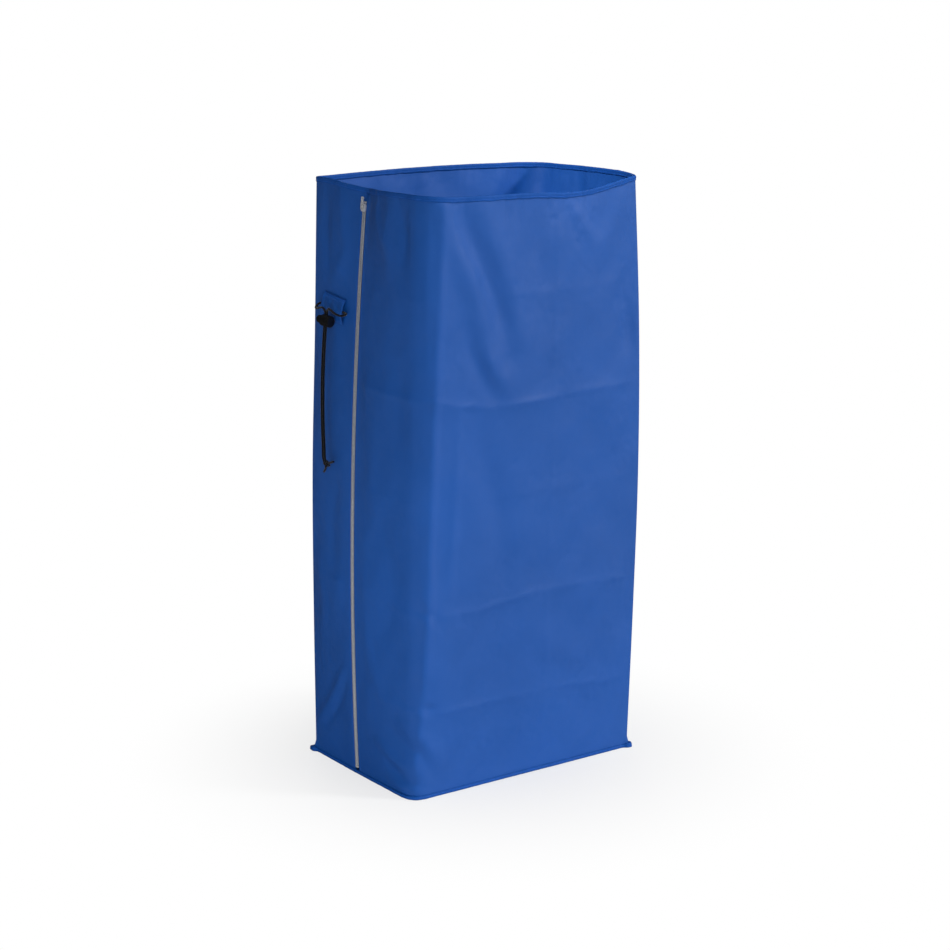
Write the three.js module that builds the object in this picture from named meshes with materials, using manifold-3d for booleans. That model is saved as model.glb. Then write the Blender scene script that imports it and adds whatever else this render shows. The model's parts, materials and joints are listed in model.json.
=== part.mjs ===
// Tall zipped fabric sack: three sewn panels round a flat base, a bound mouth,
// a full-height coil zip on one narrow side, and a tie cord with a cord lock.
// Millimetres, +Z up. Origin at the middle of the base, on the floor.
// The wide sides face -Y and +Y, the zipped narrow side faces -X.
import * as THREE from 'three';
import { mergeVertices } from 'three/addons/utils/BufferGeometryUtils.js';
import Module from 'manifold-3d';

// ---- Driving dimensions -------------------------------------------------
const HEIGHT = 940;            // floor to the mouth, whose two sewn corners stand a little higher
const WIDE = 436;              // base, along X
const NARROW = 294;            // base, along Y
const CLOTH = 0.8;             // thickness of the coated cloth as modelled
const GAP = 0.4;               // clearance between pieces that touch
const CROWN_DROP = 4.5;        // from HEIGHT down to the crown of the binding before its lift
const HEM_HEIGHT = 8;          // binding folded over the mouth
const HEM_CLOTH = 0.7;
const BASE_THICK = 1.2;
const FOOT_BINDING_HEIGHT = 6; // binding round the seam of the base
const FOOT_BINDING_THICK = 1.8;
const EAR_OUT = 5;             // how far the binding is pinched out at the two seamed corners
const SEAM_BINDING_WIDTH = 9;  // bound seam allowance inside the two seamed corners
const SEAM_BINDING_THICK = 1.6;
const ZIP_FROM_SEAM = 130;     // from the rear seam to the zip, along the narrow side
const ZIP_HEAD_DROP = 25;      // from the mouth down to the zip's top stops
const ZIP_FOOT = 9;            // height of the zip's lower end
const ZIP_BOW = 15.5;          // how far the zip bows out from a straight line
const ZIP_OPENING = 11.6;      // between the two cloth edges along the zip
const COIL_WIDTH = 3.6;        // one row of the coil
const COIL_HEIGHT = 2.2;
const TAPE_WIDTH = 15;
const TAPE_THICK = 0.7;
const SLIDER_LENGTH = 12;
const SLIDER_PLATE = 1.4;
const SLIDER_FLANGE = 1;
const FLANGE_DROP = 1;          // how far the slider's flanges reach down beside the coil
const BRIDGE_HEIGHT = 3.4;
const BRIDGE_WIDTH = 3;
const TAB_LENGTH = 17;
const TAB_WIDTH = 7;
const TAB_THICK = 1.2;
const PATCH_WIDTH = 58;
const PATCH_HEIGHT = 40;
const PATCH_RISE = 5.4;        // how far the loose middle of the patch stands off its sewn edges
const PATCH_TURN = 8;          // degrees
const PATCH_FROM_SEAM = 74;    // from the rear corner to the middle of the patch
const PATCH_DROP = 195;        // from the mouth down to the middle of the patch
const CORD = 3.5;              // cord diameter
const STRAND_SPACING = 4.2;
const CORD_CLEAR = 0.45;       // round each strand where it runs through the lock
const BARREL_DIAMETER = 18.4;
const BARREL_LENGTH = 19;
const BARREL_FLOOR = 1.5;
const BUTTON_DIAMETER = 12.2;
const BUTTON_OUT = 11;         // how far the button stands out of the barrel
const BUTTON_TRAVEL = 3.5;
const BORE_CLEAR = 0.3;
const SPRING_WIRE = 0.6;
const SPRING_TURNS = 1.5;
const LOCK_ANGLE = 10;         // degrees, the lock's axis out of the wall's plane
const LOCK_LEAN = 1.7;         // degrees, the strands stand off the wall more lower down
const LOCK_HALF_SWING = 5.9;   // degrees, half of the bow that the lock's way down follows

// ---- Colours ---------------------------------------------------------------
const cloth = new THREE.MeshStandardMaterial({ color: 0x2356a6, roughness: 0.55, metalness: 0 });
const binding = new THREE.MeshStandardMaterial({ color: 0x1f4f9c, roughness: 0.7, metalness: 0 });
const zipGrey = new THREE.MeshStandardMaterial({ color: 0x8c9096, roughness: 0.6, metalness: 0 });
const zipMetal = new THREE.MeshStandardMaterial({ color: 0xb9bcc0, roughness: 0.35, metalness: 0.9 });
const cordBlack = new THREE.MeshStandardMaterial({ color: 0x121214, roughness: 0.8, metalness: 0 });
const lockBlack = new THREE.MeshStandardMaterial({ color: 0x17181a, roughness: 0.45, metalness: 0 });
const springSteel = new THREE.MeshStandardMaterial({ color: 0xa8acb0, roughness: 0.3, metalness: 1 });

const sack = new THREE.Group();
const wasm = await Module();
wasm.setup();

// ---- Small helpers -----------------------------------------------------------
const mix = (a, b, t) => a + (b - a) * t;
const clamp = (v, low, high) => Math.min(high, Math.max(low, v));
const radians = (degrees) => (degrees * Math.PI) / 180;

// A smooth curve through evenly spaced values, such as those at the foot, a quarter, half,
// three quarters and the mouth.
function rising(...values) {
  const spans = values.length - 1;
  return (t) => {
    const at = clamp(t, 0, 1) * spans;
    const i = Math.min(Math.floor(at), spans - 1);
    const u = at - i;
    const [p1, p2] = [values[i], values[i + 1]];
    const p0 = i > 0 ? values[i - 1] : 2 * p1 - p2;
    const p3 = i + 2 <= spans ? values[i + 2] : 2 * p2 - p1;
    return 0.5 * (2 * p1 + (p2 - p0) * u + (2 * p0 - 5 * p1 + 4 * p2 - p3) * u * u
      + (3 * p1 - p0 - 3 * p2 + p3) * u * u * u);
  };
}

function addMesh(name, geometry, material, parent = sack) {
  const mesh = new THREE.Mesh(geometry, material);
  mesh.name = name;
  parent.add(mesh);
  return mesh;
}

// A closed mesh from points and triangles, its faces turned outwards.
function solid(points, triangles) {
  let volume = 0;
  for (const [a, b, c] of triangles) {
    volume += points[a].dot(points[b].clone().cross(points[c]));
  }
  const geometry = new THREE.BufferGeometry();
  geometry.setAttribute('position', new THREE.Float32BufferAttribute(points.flatMap((p) => p.toArray()), 3));
  geometry.setIndex(triangles.flatMap(([a, b, c]) => (volume < 0 ? [a, c, b] : [a, b, c])));
  return geometry;
}

// rings[i][k]: closed cross-sections, one after the other. An open run is capped by a fan,
// a closed run joins its last ring to its first.
function loft(rings, closed) {
  const size = rings[0].length;
  const points = rings.flat();
  const triangles = [];
  const runs = closed ? rings.length : rings.length - 1;
  for (let i = 0; i < runs; i += 1) {
    const next = (i + 1) % rings.length;
    for (let k = 0; k < size; k += 1) {
      const m = (k + 1) % size;
      const [a, b, c, d] = [i * size + k, next * size + k, next * size + m, i * size + m];
      triangles.push([a, b, c], [a, c, d]);
    }
  }
  if (!closed) {
    const last = (rings.length - 1) * size;
    for (let k = 1; k < size - 1; k += 1) {
      triangles.push([0, k, k + 1], [last, last + k + 1, last + k]);
    }
  }
  return solid(points, triangles);
}

// A sheet with thickness: outer[i][k] and inner[i][k] are matching grids of points.
function sheet(outer, inner) {
  const [rows, columns] = [outer.length, outer[0].length];
  const points = [...outer.flat(), ...inner.flat()];
  const far = rows * columns;
  const at = (i, k) => i * columns + k;
  const triangles = [];
  const quad = (a, b, c, d) => triangles.push([a, b, c], [a, c, d]);
  for (let i = 0; i < rows - 1; i += 1) {
    for (let k = 0; k < columns - 1; k += 1) {
      quad(at(i, k), at(i, k + 1), at(i + 1, k + 1), at(i + 1, k));
      quad(far + at(i, k), far + at(i + 1, k), far + at(i + 1, k + 1), far + at(i, k + 1));
    }
  }
  for (let k = 0; k < columns - 1; k += 1) {
    quad(at(0, k), far + at(0, k), far + at(0, k + 1), at(0, k + 1));
    quad(at(rows - 1, k + 1), far + at(rows - 1, k + 1), far + at(rows - 1, k), at(rows - 1, k));
  }
  for (let i = 0; i < rows - 1; i += 1) {
    quad(at(i + 1, 0), far + at(i + 1, 0), far + at(i, 0), at(i, 0));
    quad(at(i, columns - 1), far + at(i, columns - 1), far + at(i + 1, columns - 1), at(i + 1, columns - 1));
  }
  return solid(points, triangles);
}

// ---- The sack's wall as a surface ------------------------------------------------
// At a share t of the height the wall is a closed outline through two sewn corners
// (rear and side seam), two soft folds (front and back) and the zip.
const rearSeam = {
  x: rising(4, 4, 5, 11, 21),
  y: rising(-5, -4, -5.5, -10, -6),
};
const sideSeam = {
  x: rising(-4, 1, 4, 2, -7),
  y: rising(5, 0, -4, -3, 2),
};
const frontFold = {
  x: rising(0, 2, 2, 2, 3),
  y: rising(0, -15, -22, -33, -38),
  radius: rising(22, 30, 36, 46, 60),
};
const backFold = {
  x: rising(0, 5, 8, 16, 34),
  y: rising(0, 4, 6, 6, 5),
  radius: rising(22, 30, 36, 46, 60),
};
// How far each side swells outwards between its corners.
const swell = {
  rear: rising(0, 3, 3, 4, 6),
  zipFront: rising(0, 3, 4, 6, 9),
  front: rising(0, 6, 7, 5, 0),
  side: rising(0, 7, 8, 14, 25),
  back: rising(0, 6, 7, 9, 12),
};

// The zip lies on an arc in a plane across the sack.
const zipFootX = -WIDE / 2 + 0.5;
const zipHeadX = -WIDE / 2 + 26.5;
const zipHeadZ = HEIGHT - ZIP_HEAD_DROP;
const zipLine = NARROW / 2 - ZIP_FROM_SEAM - 6;
const zipChord = new THREE.Vector2(zipHeadX - zipFootX, zipHeadZ - ZIP_FOOT);
const zipRadius = (zipChord.lengthSq() / 4 + ZIP_BOW ** 2) / (2 * ZIP_BOW);
const zipCentre = new THREE.Vector2(zipFootX, ZIP_FOOT)
  .addScaledVector(zipChord, 0.5)
  .addScaledVector(new THREE.Vector2(zipChord.y, -zipChord.x).normalize(), zipRadius - ZIP_BOW);
const zipX = (z) => zipCentre.x - Math.sqrt(zipRadius ** 2 - (z - zipCentre.y) ** 2);

const SIDE_STEPS = 7;
const ARC_STEPS = 5;
const ZIP_FLAT = TAPE_WIDTH + 3;  // the wall stays flat across this far each side of the zip

// Corner points of the outline at height z, each with its rounding.
function corners(z) {
  const t = z / HEIGHT;
  const at = (seam, x, y) => new THREE.Vector2(x + seam.x(t), y + seam.y(t));
  return {
    rear: at(rearSeam, -WIDE / 2, NARROW / 2),
    zip: new THREE.Vector2(zipX(z), zipLine),
    front: at(frontFold, -WIDE / 2, -NARROW / 2),
    side: at(sideSeam, WIDE / 2, -NARROW / 2),
    back: at(backFold, WIDE / 2, NARROW / 2),
  };
}

// Points of one side, from one place to another, at the given shares, swollen outwards.
function sidePoints(from, to, bulge, shares) {
  const along = to.clone().sub(from);
  const out = new THREE.Vector2(along.y, -along.x).normalize();
  return shares.map((s) => from.clone()
    .addScaledVector(along, s)
    .addScaledVector(out, 4 * bulge * s * (1 - s)));
}

// A quarter turn between two sides, as a curve that is tangent to both.
function foldPoints(before, corner, after) {
  const points = [];
  for (let i = 1; i < ARC_STEPS; i += 1) {
    const s = i / ARC_STEPS;
    const weight = 2 * s * (1 - s) * 0.94;
    const total = (1 - s) ** 2 + weight + s ** 2;
    points.push(new THREE.Vector2(
      ((1 - s) ** 2 * before.x + weight * corner.x + s ** 2 * after.x) / total,
      ((1 - s) ** 2 * before.y + weight * corner.y + s ** 2 * after.y) / total,
    ));
  }
  return points;
}

const evenShares = (steps) => Array.from({ length: steps + 1 }, (_, i) => i / steps);

// The three cloth outlines at height z: rear (rear seam to zip), front (zip to side seam)
// and back (side seam to rear seam), with the zip's own marks on the two at the zip.
function outline(z) {
  const t = z / HEIGHT;
  const c = corners(z);
  const cut = (from, to, distance) => {
    const towards = to.clone().sub(from).normalize();
    return from.clone().addScaledVector(towards, distance);
  };
  const beside = (distance) => new THREE.Vector2(c.zip.x, c.zip.y + distance);
  const frontStart = cut(c.front, c.zip, frontFold.radius(t));
  const frontEnd = cut(c.front, c.side, frontFold.radius(t));
  const backStart = cut(c.back, c.side, backFold.radius(t));
  const backEnd = cut(c.back, c.rear, backFold.radius(t));
  return {
    rear: [
      ...sidePoints(c.rear, beside(ZIP_FLAT), swell.rear(t), evenShares(SIDE_STEPS - 3)),
      beside(ZIP_OPENING / 2),
    ],
    front: [
      beside(-ZIP_OPENING / 2),
      ...sidePoints(beside(-ZIP_FLAT), frontStart, swell.zipFront(t), evenShares(SIDE_STEPS - 3)),
      ...foldPoints(frontStart, c.front, frontEnd),
      ...sidePoints(frontEnd, c.side, swell.front(t), evenShares(SIDE_STEPS)),
    ],
    back: [
      ...sidePoints(c.side, backStart, swell.side(t), evenShares(SIDE_STEPS - 2)),
      ...foldPoints(backStart, c.back, backEnd),
      ...sidePoints(backEnd, c.rear, swell.back(t), evenShares(SIDE_STEPS)),
    ],
  };
}

// The mouth isn't level: the two sewn corners hold it up, and the wide front dips towards
// its seam. Each lift runs along its panel, from its start to its end.
const mouthLifts = {
  rear: rising(7, 7.6, 5, 1, -1.5),
  front: rising(-1.5, 1.2, 3, 3, 1.6, -1.2, -4.2, -8.4, 8),
  back: rising(8, 6.5, 6.5, 9, 7),
};
const mouthLift = (panel, share) => mouthLifts[panel](share);

// In-plane outward normals along an open run of outline points.
function normals(points) {
  return points.map((_, i) => {
    const a = points[Math.max(0, i - 1)];
    const b = points[Math.min(points.length - 1, i + 1)];
    return new THREE.Vector2(b.y - a.y, a.x - b.x).normalize();
  });
}

// The wall's points along one panel at height z, moved outwards by offset.
function wallRow(panel, z, offset) {
  const all = outline(z)[panel];
  const out = normals(all);
  const spread = smooth(z / HEIGHT);
  return all.map((p, i) => new THREE.Vector3(
    p.x + out[i].x * offset,
    p.y + out[i].y * offset,
    z + mouthLift(panel, i / (all.length - 1)) * spread,
  ));
}

// The mouth's unevenness fades out below the upper third.
function smooth(t) {
  const s = clamp((t - 0.68) / 0.3, 0, 1);
  return s * s * (3 - 2 * s);
}

const wallFoot = BASE_THICK + GAP;
const wallTop = HEIGHT - HEM_CLOTH - GAP - CROWN_DROP;
const LEVELS = [0, 0.05, 0.12, 0.22, 0.34, 0.46, 0.58, 0.7, 0.8, 0.88, 0.95, 1];
const wallHeights = LEVELS.map((share) => mix(wallFoot, wallTop, share));

// A panel's end is held back from a sewn corner so that two panels never meet.
function heldBack(row, atStart, atEnd) {
  const copy = row.map((p) => p.clone());
  const pull = (end, next) => end.add(next.clone().sub(end).setLength(CLOTH + 2 * GAP));
  if (atStart) pull(copy[0], row[1]);
  if (atEnd) pull(copy.at(-1), row.at(-2));
  return copy;
}

function clothPanel(name, panel, atStart, atEnd) {
  const rows = (offset) => wallHeights.map((z) => heldBack(wallRow(panel, z, offset), atStart, atEnd));
  addMesh(name, sheet(rows(0), rows(-CLOTH)), cloth);
}

clothPanel('rear_zip_panel', 'rear', true, false);
clothPanel('front_panel', 'front', false, true);
clothPanel('back_panel', 'back', true, true);

// ---- Base and its bound seam ------------------------------------------------------
// One closed run round the foot, moved outwards by offset; the seamed corners can be
// pulled out further as pinched ears.
function footRun(offset, earOut) {
  const { rear, front, back } = outline(wallFoot);
  const run = [...rear, ...front, ...back.slice(1, -1)];
  const count = run.length;
  const seams = { 0: 1, [rear.length + front.length - 1]: -1 };
  return run.map((p, i) => {
    const before = run[(i + count - 1) % count];
    const after = run[(i + 1) % count];
    const [a, b] = [p.clone().sub(before).normalize(), after.clone().sub(p).normalize()];
    const out = new THREE.Vector2(a.y + b.y, -a.x - b.x).normalize();
    const square = Math.max(0.6, out.dot(new THREE.Vector2(a.y, -a.x)));
    const extra = i in seams ? earOut : 0;
    return p.clone().addScaledVector(out, offset / square + extra);
  });
}

const footOutline = footRun(-CLOTH - GAP, 0);
const baseShape = new THREE.Shape(footOutline);
const baseSheet = { depth: BASE_THICK, bevelEnabled: false };
addMesh('base_panel', new THREE.ExtrudeGeometry(baseShape, baseSheet), cloth);

function footBinding() {
  const inner = footRun(GAP, 0);
  const outer = footRun(GAP + FOOT_BINDING_THICK, EAR_OUT);
  const top = FOOT_BINDING_HEIGHT;
  const rings = inner.map((p, i) => {
    const q = outer[i];
    return [
      new THREE.Vector3(p.x, p.y, 0),
      new THREE.Vector3(q.x, q.y, 0),
      new THREE.Vector3(q.x, q.y, top * 0.75),
      new THREE.Vector3(mix(p.x, q.x, 0.6), mix(p.y, q.y, 0.6), top),
      new THREE.Vector3(p.x, p.y, top),
    ];
  });
  return loft(rings, true);
}
addMesh('foot_binding', footBinding(), binding);

// ---- Mouth binding ------------------------------------------------------------------
// A strip folded over the mouth: an upside-down U that runs all the way round.
function mouthRun(z, offset) {
  const panels = ['rear', 'front', 'back'];
  const rows = panels.map((panel) => wallRow(panel, z, 0));
  const run = [...rows[0], ...rows[1], ...rows[2].slice(1, -1)];
  const count = run.length;
  return run.map((p, i) => {
    const before = run[(i + count - 1) % count];
    const after = run[(i + 1) % count];
    const a = new THREE.Vector2(p.x - before.x, p.y - before.y).normalize();
    const b = new THREE.Vector2(after.x - p.x, after.y - p.y).normalize();
    const out = new THREE.Vector2(a.y + b.y, -a.x - b.x).normalize();
    const square = Math.max(0.6, out.dot(new THREE.Vector2(a.y, -a.x)));
    return new THREE.Vector3(p.x + (out.x * offset) / square, p.y + (out.y * offset) / square, p.z);
  });
}

function mouthBinding() {
  const crown = HEIGHT - CROWN_DROP;
  const [outer, inner] = [GAP, -CLOTH - GAP];
  const section = [
    [outer, crown - HEM_HEIGHT],
    [outer + HEM_CLOTH, crown - HEM_HEIGHT],
    [outer + HEM_CLOTH, crown],
    [inner - HEM_CLOTH, crown],
    [inner - HEM_CLOTH, crown - HEM_HEIGHT],
    [inner, crown - HEM_HEIGHT],
    [inner, crown - HEM_CLOTH],
    [outer, crown - HEM_CLOTH],
  ];
  const runs = section.map(([offset, z]) => mouthRun(z, offset));
  return loft(runs[0].map((_, i) => runs.map((run) => run[i])), true);
}
addMesh('mouth_binding', mouthBinding(), binding);

// ---- Bound seam allowances inside the two sewn corners --------------------------------
function cornerBinding(name, corner, neighbours) {
  const foot = wallFoot + 3;
  const head = wallTop - HEM_HEIGHT - 4;
  const start = 3 * CLOTH + 3 * GAP;
  const rings = LEVELS.map((share) => {
    const z = mix(foot, head, share);
    const c = corners(z);
    const [a, b] = neighbours.map((n) => c[n].clone().sub(c[corner]).normalize());
    const inward = a.add(b).normalize();
    const across = new THREE.Vector2(-inward.y, inward.x);
    const at = (depth, half) => {
      const p = c[corner].clone().addScaledVector(inward, depth).addScaledVector(across, half);
      return new THREE.Vector3(p.x, p.y, z);
    };
    const half = SEAM_BINDING_THICK / 2;
    return [at(start, -half), at(start + SEAM_BINDING_WIDTH, -half),
      at(start + SEAM_BINDING_WIDTH, half), at(start, half)];
  });
  addMesh(name, loft(rings, false), binding);
}
cornerBinding('rear_seam_binding', 'rear', ['zip', 'back']);
cornerBinding('side_seam_binding', 'side', ['front', 'back']);

// ---- Zip ----------------------------------------------------------------------------------
// Directions at the zip: along it (up), across it (towards the front) and out of the sack.
function zipFrame(z) {
  const tangent = new THREE.Vector3(-(z - zipCentre.y) / (zipX(z) - zipCentre.x), 0, 1).normalize();
  return {
    place: new THREE.Vector3(zipX(z), zipLine, z),
    up: tangent,
    out: new THREE.Vector3(-tangent.z, 0, tangent.x),
  };
}

// A strip beside the zip line, from near to far across it, between two depths.
function zipStrip(side, near, far, low, high, zFrom, zTo, steps) {
  const rings = evenShares(steps).map((share) => {
    const z = mix(zFrom, zTo, share);
    const { place, out } = zipFrame(z);
    const along = new THREE.Vector3(0, -side, 0);
    const at = (across, depth) => place.clone().addScaledVector(along, across).addScaledVector(out, depth);
    return [at(near, low), at(far, low), at(far, high), at(near, high)];
  });
  return loft(rings, false);
}

const tapeTop = -CLOTH - GAP - 0.3;
const tapeBottom = tapeTop - TAPE_THICK;
const coilBottom = tapeTop + GAP;
const coilTop = coilBottom + COIL_HEIGHT;
const ZIP_STEPS = 14;
const stopHeight = 3;
const coilHead = zipHeadZ - stopHeight - GAP;
const coilFoot = ZIP_FOOT + 5;
for (const [word, side] of [['front', 1], ['rear', -1]]) {
  const tape = zipStrip(side, GAP, TAPE_WIDTH, tapeBottom, tapeTop, ZIP_FOOT, zipHeadZ, ZIP_STEPS);
  addMesh(`zip_tape_${word}`, tape, zipGrey);
  const coil = zipStrip(side, GAP / 2, GAP / 2 + COIL_WIDTH, coilBottom, coilTop, coilFoot, coilHead,
    ZIP_STEPS);
  addMesh(`zip_coil_${word}`, coil, zipGrey);
  const stop = zipStrip(side, GAP, COIL_WIDTH, coilBottom, coilTop, coilHead + GAP, zipHeadZ - GAP, 1);
  addMesh(`zip_top_stop_${word}`, stop, zipMetal);
}
const bottomStop = (() => {
  const ring = (z) => {
    const { place, out } = zipFrame(z);
    const side = new THREE.Vector3(0, 1, 0);
    const at = (across, depth) => place.clone().addScaledVector(side, across).addScaledVector(out, depth);
    const half = COIL_WIDTH;
    return [at(-half, coilBottom), at(-half, coilTop), at(half, coilTop), at(half, coilBottom)];
  };
  return loft([ring(ZIP_FOOT + 0.5), ring(coilFoot - GAP)], false);
})();
addMesh('zip_bottom_stop', bottomStop, zipMetal);

// The facing that closes the slit between the zip's head and the mouth.
function headFacing() {
  const ends = [[zipHeadZ + GAP, 0], [wallTop - GAP, mouthLift('rear', 1)]];
  const rings = ends.map(([z, lift]) => {
    const { rear, front } = outline(z);
    const [from, to] = [rear.at(-1), front[0]];
    const along = to.clone().sub(from).normalize();
    const out = new THREE.Vector2(along.y, -along.x);
    const at = (end, step, depth) => {
      const p = end.clone().addScaledVector(along, step).addScaledVector(out, depth);
      return new THREE.Vector3(p.x, p.y, z + lift);
    };
    return [at(from, GAP, -CLOTH), at(to, -GAP, -CLOTH), at(to, -GAP, 0), at(from, GAP, 0)];
  });
  return loft(rings, false);
}
addMesh('zip_head_facing', headFacing(), cloth);

// ---- Solids for booleans ---------------------------------------------------------------
function toManifold(geometry) {
  const bare = geometry.clone();
  bare.deleteAttribute('normal');
  bare.deleteAttribute('uv');
  const merged = mergeVertices(bare, 1e-4);
  return new wasm.Manifold(new wasm.Mesh({
    numProp: 3,
    vertProperties: new Float32Array(merged.attributes.position.array),
    triVerts: new Uint32Array(merged.index.array),
  }));
}

function fromManifold(manifold) {
  const mesh = manifold.getMesh();
  const geometry = new THREE.BufferGeometry();
  geometry.setAttribute('position', new THREE.BufferAttribute(new Float32Array(mesh.vertProperties), 3));
  geometry.setIndex(new THREE.BufferAttribute(new Uint32Array(mesh.triVerts), 1));
  return geometry;
}

const box = (x, y, z, cx = 0, cy = 0, cz = 0) => {
  const geometry = new THREE.BoxGeometry(x, y, z);
  geometry.translate(cx, cy, cz);
  return geometry;
};

// ---- Zip slider and its pull tab -----------------------------------------------------------
// Local axes: x across the zip, y up along it, z out of the sack. The slider wraps the coil.
const sliderZ = coilHead - SLIDER_LENGTH / 2 - GAP;
const sliderGroup = new THREE.Group();
const sliderFrame = zipFrame(sliderZ);
sliderGroup.applyMatrix4(new THREE.Matrix4().makeBasis(
  new THREE.Vector3().crossVectors(sliderFrame.up, sliderFrame.out),
  sliderFrame.up,
  sliderFrame.out,
).setPosition(sliderFrame.place));
sack.add(sliderGroup);
const sliderSlack = 0.5;
const sliderHalf = COIL_WIDTH + GAP / 2 + sliderSlack;
const plateLow = coilTop + sliderSlack;
const plateTop = plateLow + SLIDER_PLATE;
const flangeLow = coilTop - FLANGE_DROP;
const pinHeight = plateTop + BRIDGE_HEIGHT - 1.7;
const sliderBody = (() => {
  const outer = box(2 * (sliderHalf + SLIDER_FLANGE), SLIDER_LENGTH, plateTop - flangeLow,
    0, 0, (plateTop + flangeLow) / 2);
  const channelDepth = plateLow - flangeLow + 2;
  const channel = box(2 * sliderHalf, SLIDER_LENGTH + 2, channelDepth, 0, 0, plateLow - channelDepth / 2);
  const bridge = box(BRIDGE_WIDTH, SLIDER_LENGTH * 0.7, BRIDGE_HEIGHT,
    0, 0, plateTop + BRIDGE_HEIGHT / 2 - 0.01);
  const eye = box(BRIDGE_WIDTH + 2, SLIDER_LENGTH * 0.4, 2.4, 0, 0, pinHeight - 0.3);
  return fromManifold(toManifold(outer).subtract(toManifold(channel)).add(toManifold(bridge))
    .subtract(toManifold(eye)));
})();
addMesh('zip_slider', sliderBody, zipMetal, sliderGroup);

// The tab hangs in the bridge's eye by its cross bar, and lies up along the zip at rest.
const pullTab = (() => {
  const barWidth = 0.9;
  const blade = box(TAB_WIDTH, TAB_LENGTH, TAB_THICK, 0, TAB_LENGTH / 2 - barWidth / 2, pinHeight);
  const windowLength = SLIDER_LENGTH * 0.35 + 2.2;
  const windowMiddle = barWidth / 2 + windowLength / 2;
  const hole = box(BRIDGE_WIDTH + 1, windowLength, TAB_THICK + 2, 0, windowMiddle, pinHeight);
  return fromManifold(toManifold(blade).subtract(toManifold(hole)));
})();
addMesh('zip_pull_tab', pullTab, zipMetal, sliderGroup);

// ---- Keeper patch ----------------------------------------------------------------------------
// The wall's outer face between the rear seam and the zip.
function rearWall(y, z) {
  const row = outline(z).rear;
  const k = clamp(row.findIndex((p) => p.y < y), 1, row.length - 1);
  const [a, b] = [row[k - 1], row[k]];
  const share = (y - a.y) / (b.y - a.y);
  return mix(a.x, b.x, share);
}

const patchCentre = { y: NARROW / 2 - PATCH_FROM_SEAM, z: HEIGHT - PATCH_DROP };

// The tie cord and its lock are placed from the wall behind the middle of the patch.
const tie = new THREE.Group();
tie.position.set(rearWall(patchCentre.y, patchCentre.z), patchCentre.y, patchCentre.z);
sack.add(tie);

const patch = (() => {
  const [columns, rows] = [8, 6];
  const grid = (depth) => evenShares(rows).map((v) => evenShares(columns).map((u) => {
    const turn = radians(PATCH_TURN);
    const [a, b] = [(0.5 - u) * PATCH_WIDTH, (v - 0.5) * PATCH_HEIGHT];
    const y = patchCentre.y + a * Math.cos(turn) - b * Math.sin(turn);
    const z = patchCentre.z + a * Math.sin(turn) + b * Math.cos(turn);
    const rise = PATCH_RISE * Math.sin(Math.PI * v) ** 0.6;
    return new THREE.Vector3(rearWall(y, z) - GAP - rise - depth, y, z);
  }));
  return sheet(grid(CLOTH), grid(0));
})();
addMesh('cord_keeper_patch', patch, cloth);

// ---- Cord lock ---------------------------------------------------------------------------------
// Local axes: x along the lock towards the button, y down the strands, z out of the sack.
const lockPlace = new THREE.Vector3(-18.4, -2, -18);
const lockGroup = new THREE.Group();
const lockTurn = new THREE.Quaternion()
  .setFromAxisAngle(new THREE.Vector3(0, 0, 1), radians(LOCK_ANGLE))
  .multiply(new THREE.Quaternion().setFromAxisAngle(new THREE.Vector3(0, 1, 0), radians(LOCK_LEAN)))
  .multiply(new THREE.Quaternion().setFromRotationMatrix(new THREE.Matrix4().makeBasis(
    new THREE.Vector3(0, 1, 0), new THREE.Vector3(0, 0, -1), new THREE.Vector3(-1, 0, 0),
  )));
// Half the angle of the bow, from the lock at rest to the middle of the strands.
const swingTurn = new THREE.Quaternion()
  .setFromAxisAngle(new THREE.Vector3(0, 0, 1), radians(-LOCK_HALF_SWING));
lockGroup.quaternion.copy(lockTurn).multiply(swingTurn);
lockGroup.position.copy(lockPlace);
tie.add(lockGroup);

const strandMiddle = -0.5;
const barrelEnd = 5.5;
const barrelStart = barrelEnd - BARREL_LENGTH;
const boreFloor = barrelStart + BARREL_FLOOR;
const slotLow = strandMiddle - STRAND_SPACING / 2 - CORD / 2 - CORD_CLEAR;
const slotHigh = strandMiddle + STRAND_SPACING / 2 + CORD / 2 + CORD_CLEAR;
const slotWidth = CORD + 2 * CORD_CLEAR;
const ROUND = 20;

// A turned shape about the lock's axis, from a profile of [distance along, radius].
function turned(profile) {
  const geometry = new THREE.LatheGeometry(profile.map(([along, r]) => new THREE.Vector2(r, along)), ROUND);
  geometry.rotateZ(-Math.PI / 2);
  return geometry;
}

const crossSlot = (low, high) => box(high - low, 4 * BARREL_DIAMETER, slotWidth, (low + high) / 2, 0, 0);
const barrelRadius = BARREL_DIAMETER / 2;
const boreRadius = BUTTON_DIAMETER / 2 + BORE_CLEAR;
const barrel = toManifold(turned([
  [barrelStart, 0], [barrelStart, barrelRadius - 1.6], [barrelStart + 1.6, barrelRadius],
  [barrelEnd - 1, barrelRadius], [barrelEnd, barrelRadius - 1], [barrelEnd, boreRadius],
  [boreFloor, boreRadius], [boreFloor, 0],
])).subtract(toManifold(crossSlot(slotLow, slotHigh)));
addMesh('cord_lock_barrel', fromManifold(barrel), lockBlack, lockGroup);

const buttonRadius = BUTTON_DIAMETER / 2;
const buttonInner = slotLow - 1;
const buttonEnd = barrelEnd + BUTTON_OUT;
const button = toManifold(turned([
  [buttonInner, 0], [buttonInner, buttonRadius], [buttonEnd - 2.5, buttonRadius],
  [buttonEnd - 0.8, buttonRadius - 1.2], [buttonEnd, buttonRadius - 3.4], [buttonEnd, 0],
])).subtract(toManifold(crossSlot(slotLow, slotHigh + BUTTON_TRAVEL)));
addMesh('cord_lock_button', fromManifold(button), lockBlack, lockGroup);

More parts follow.
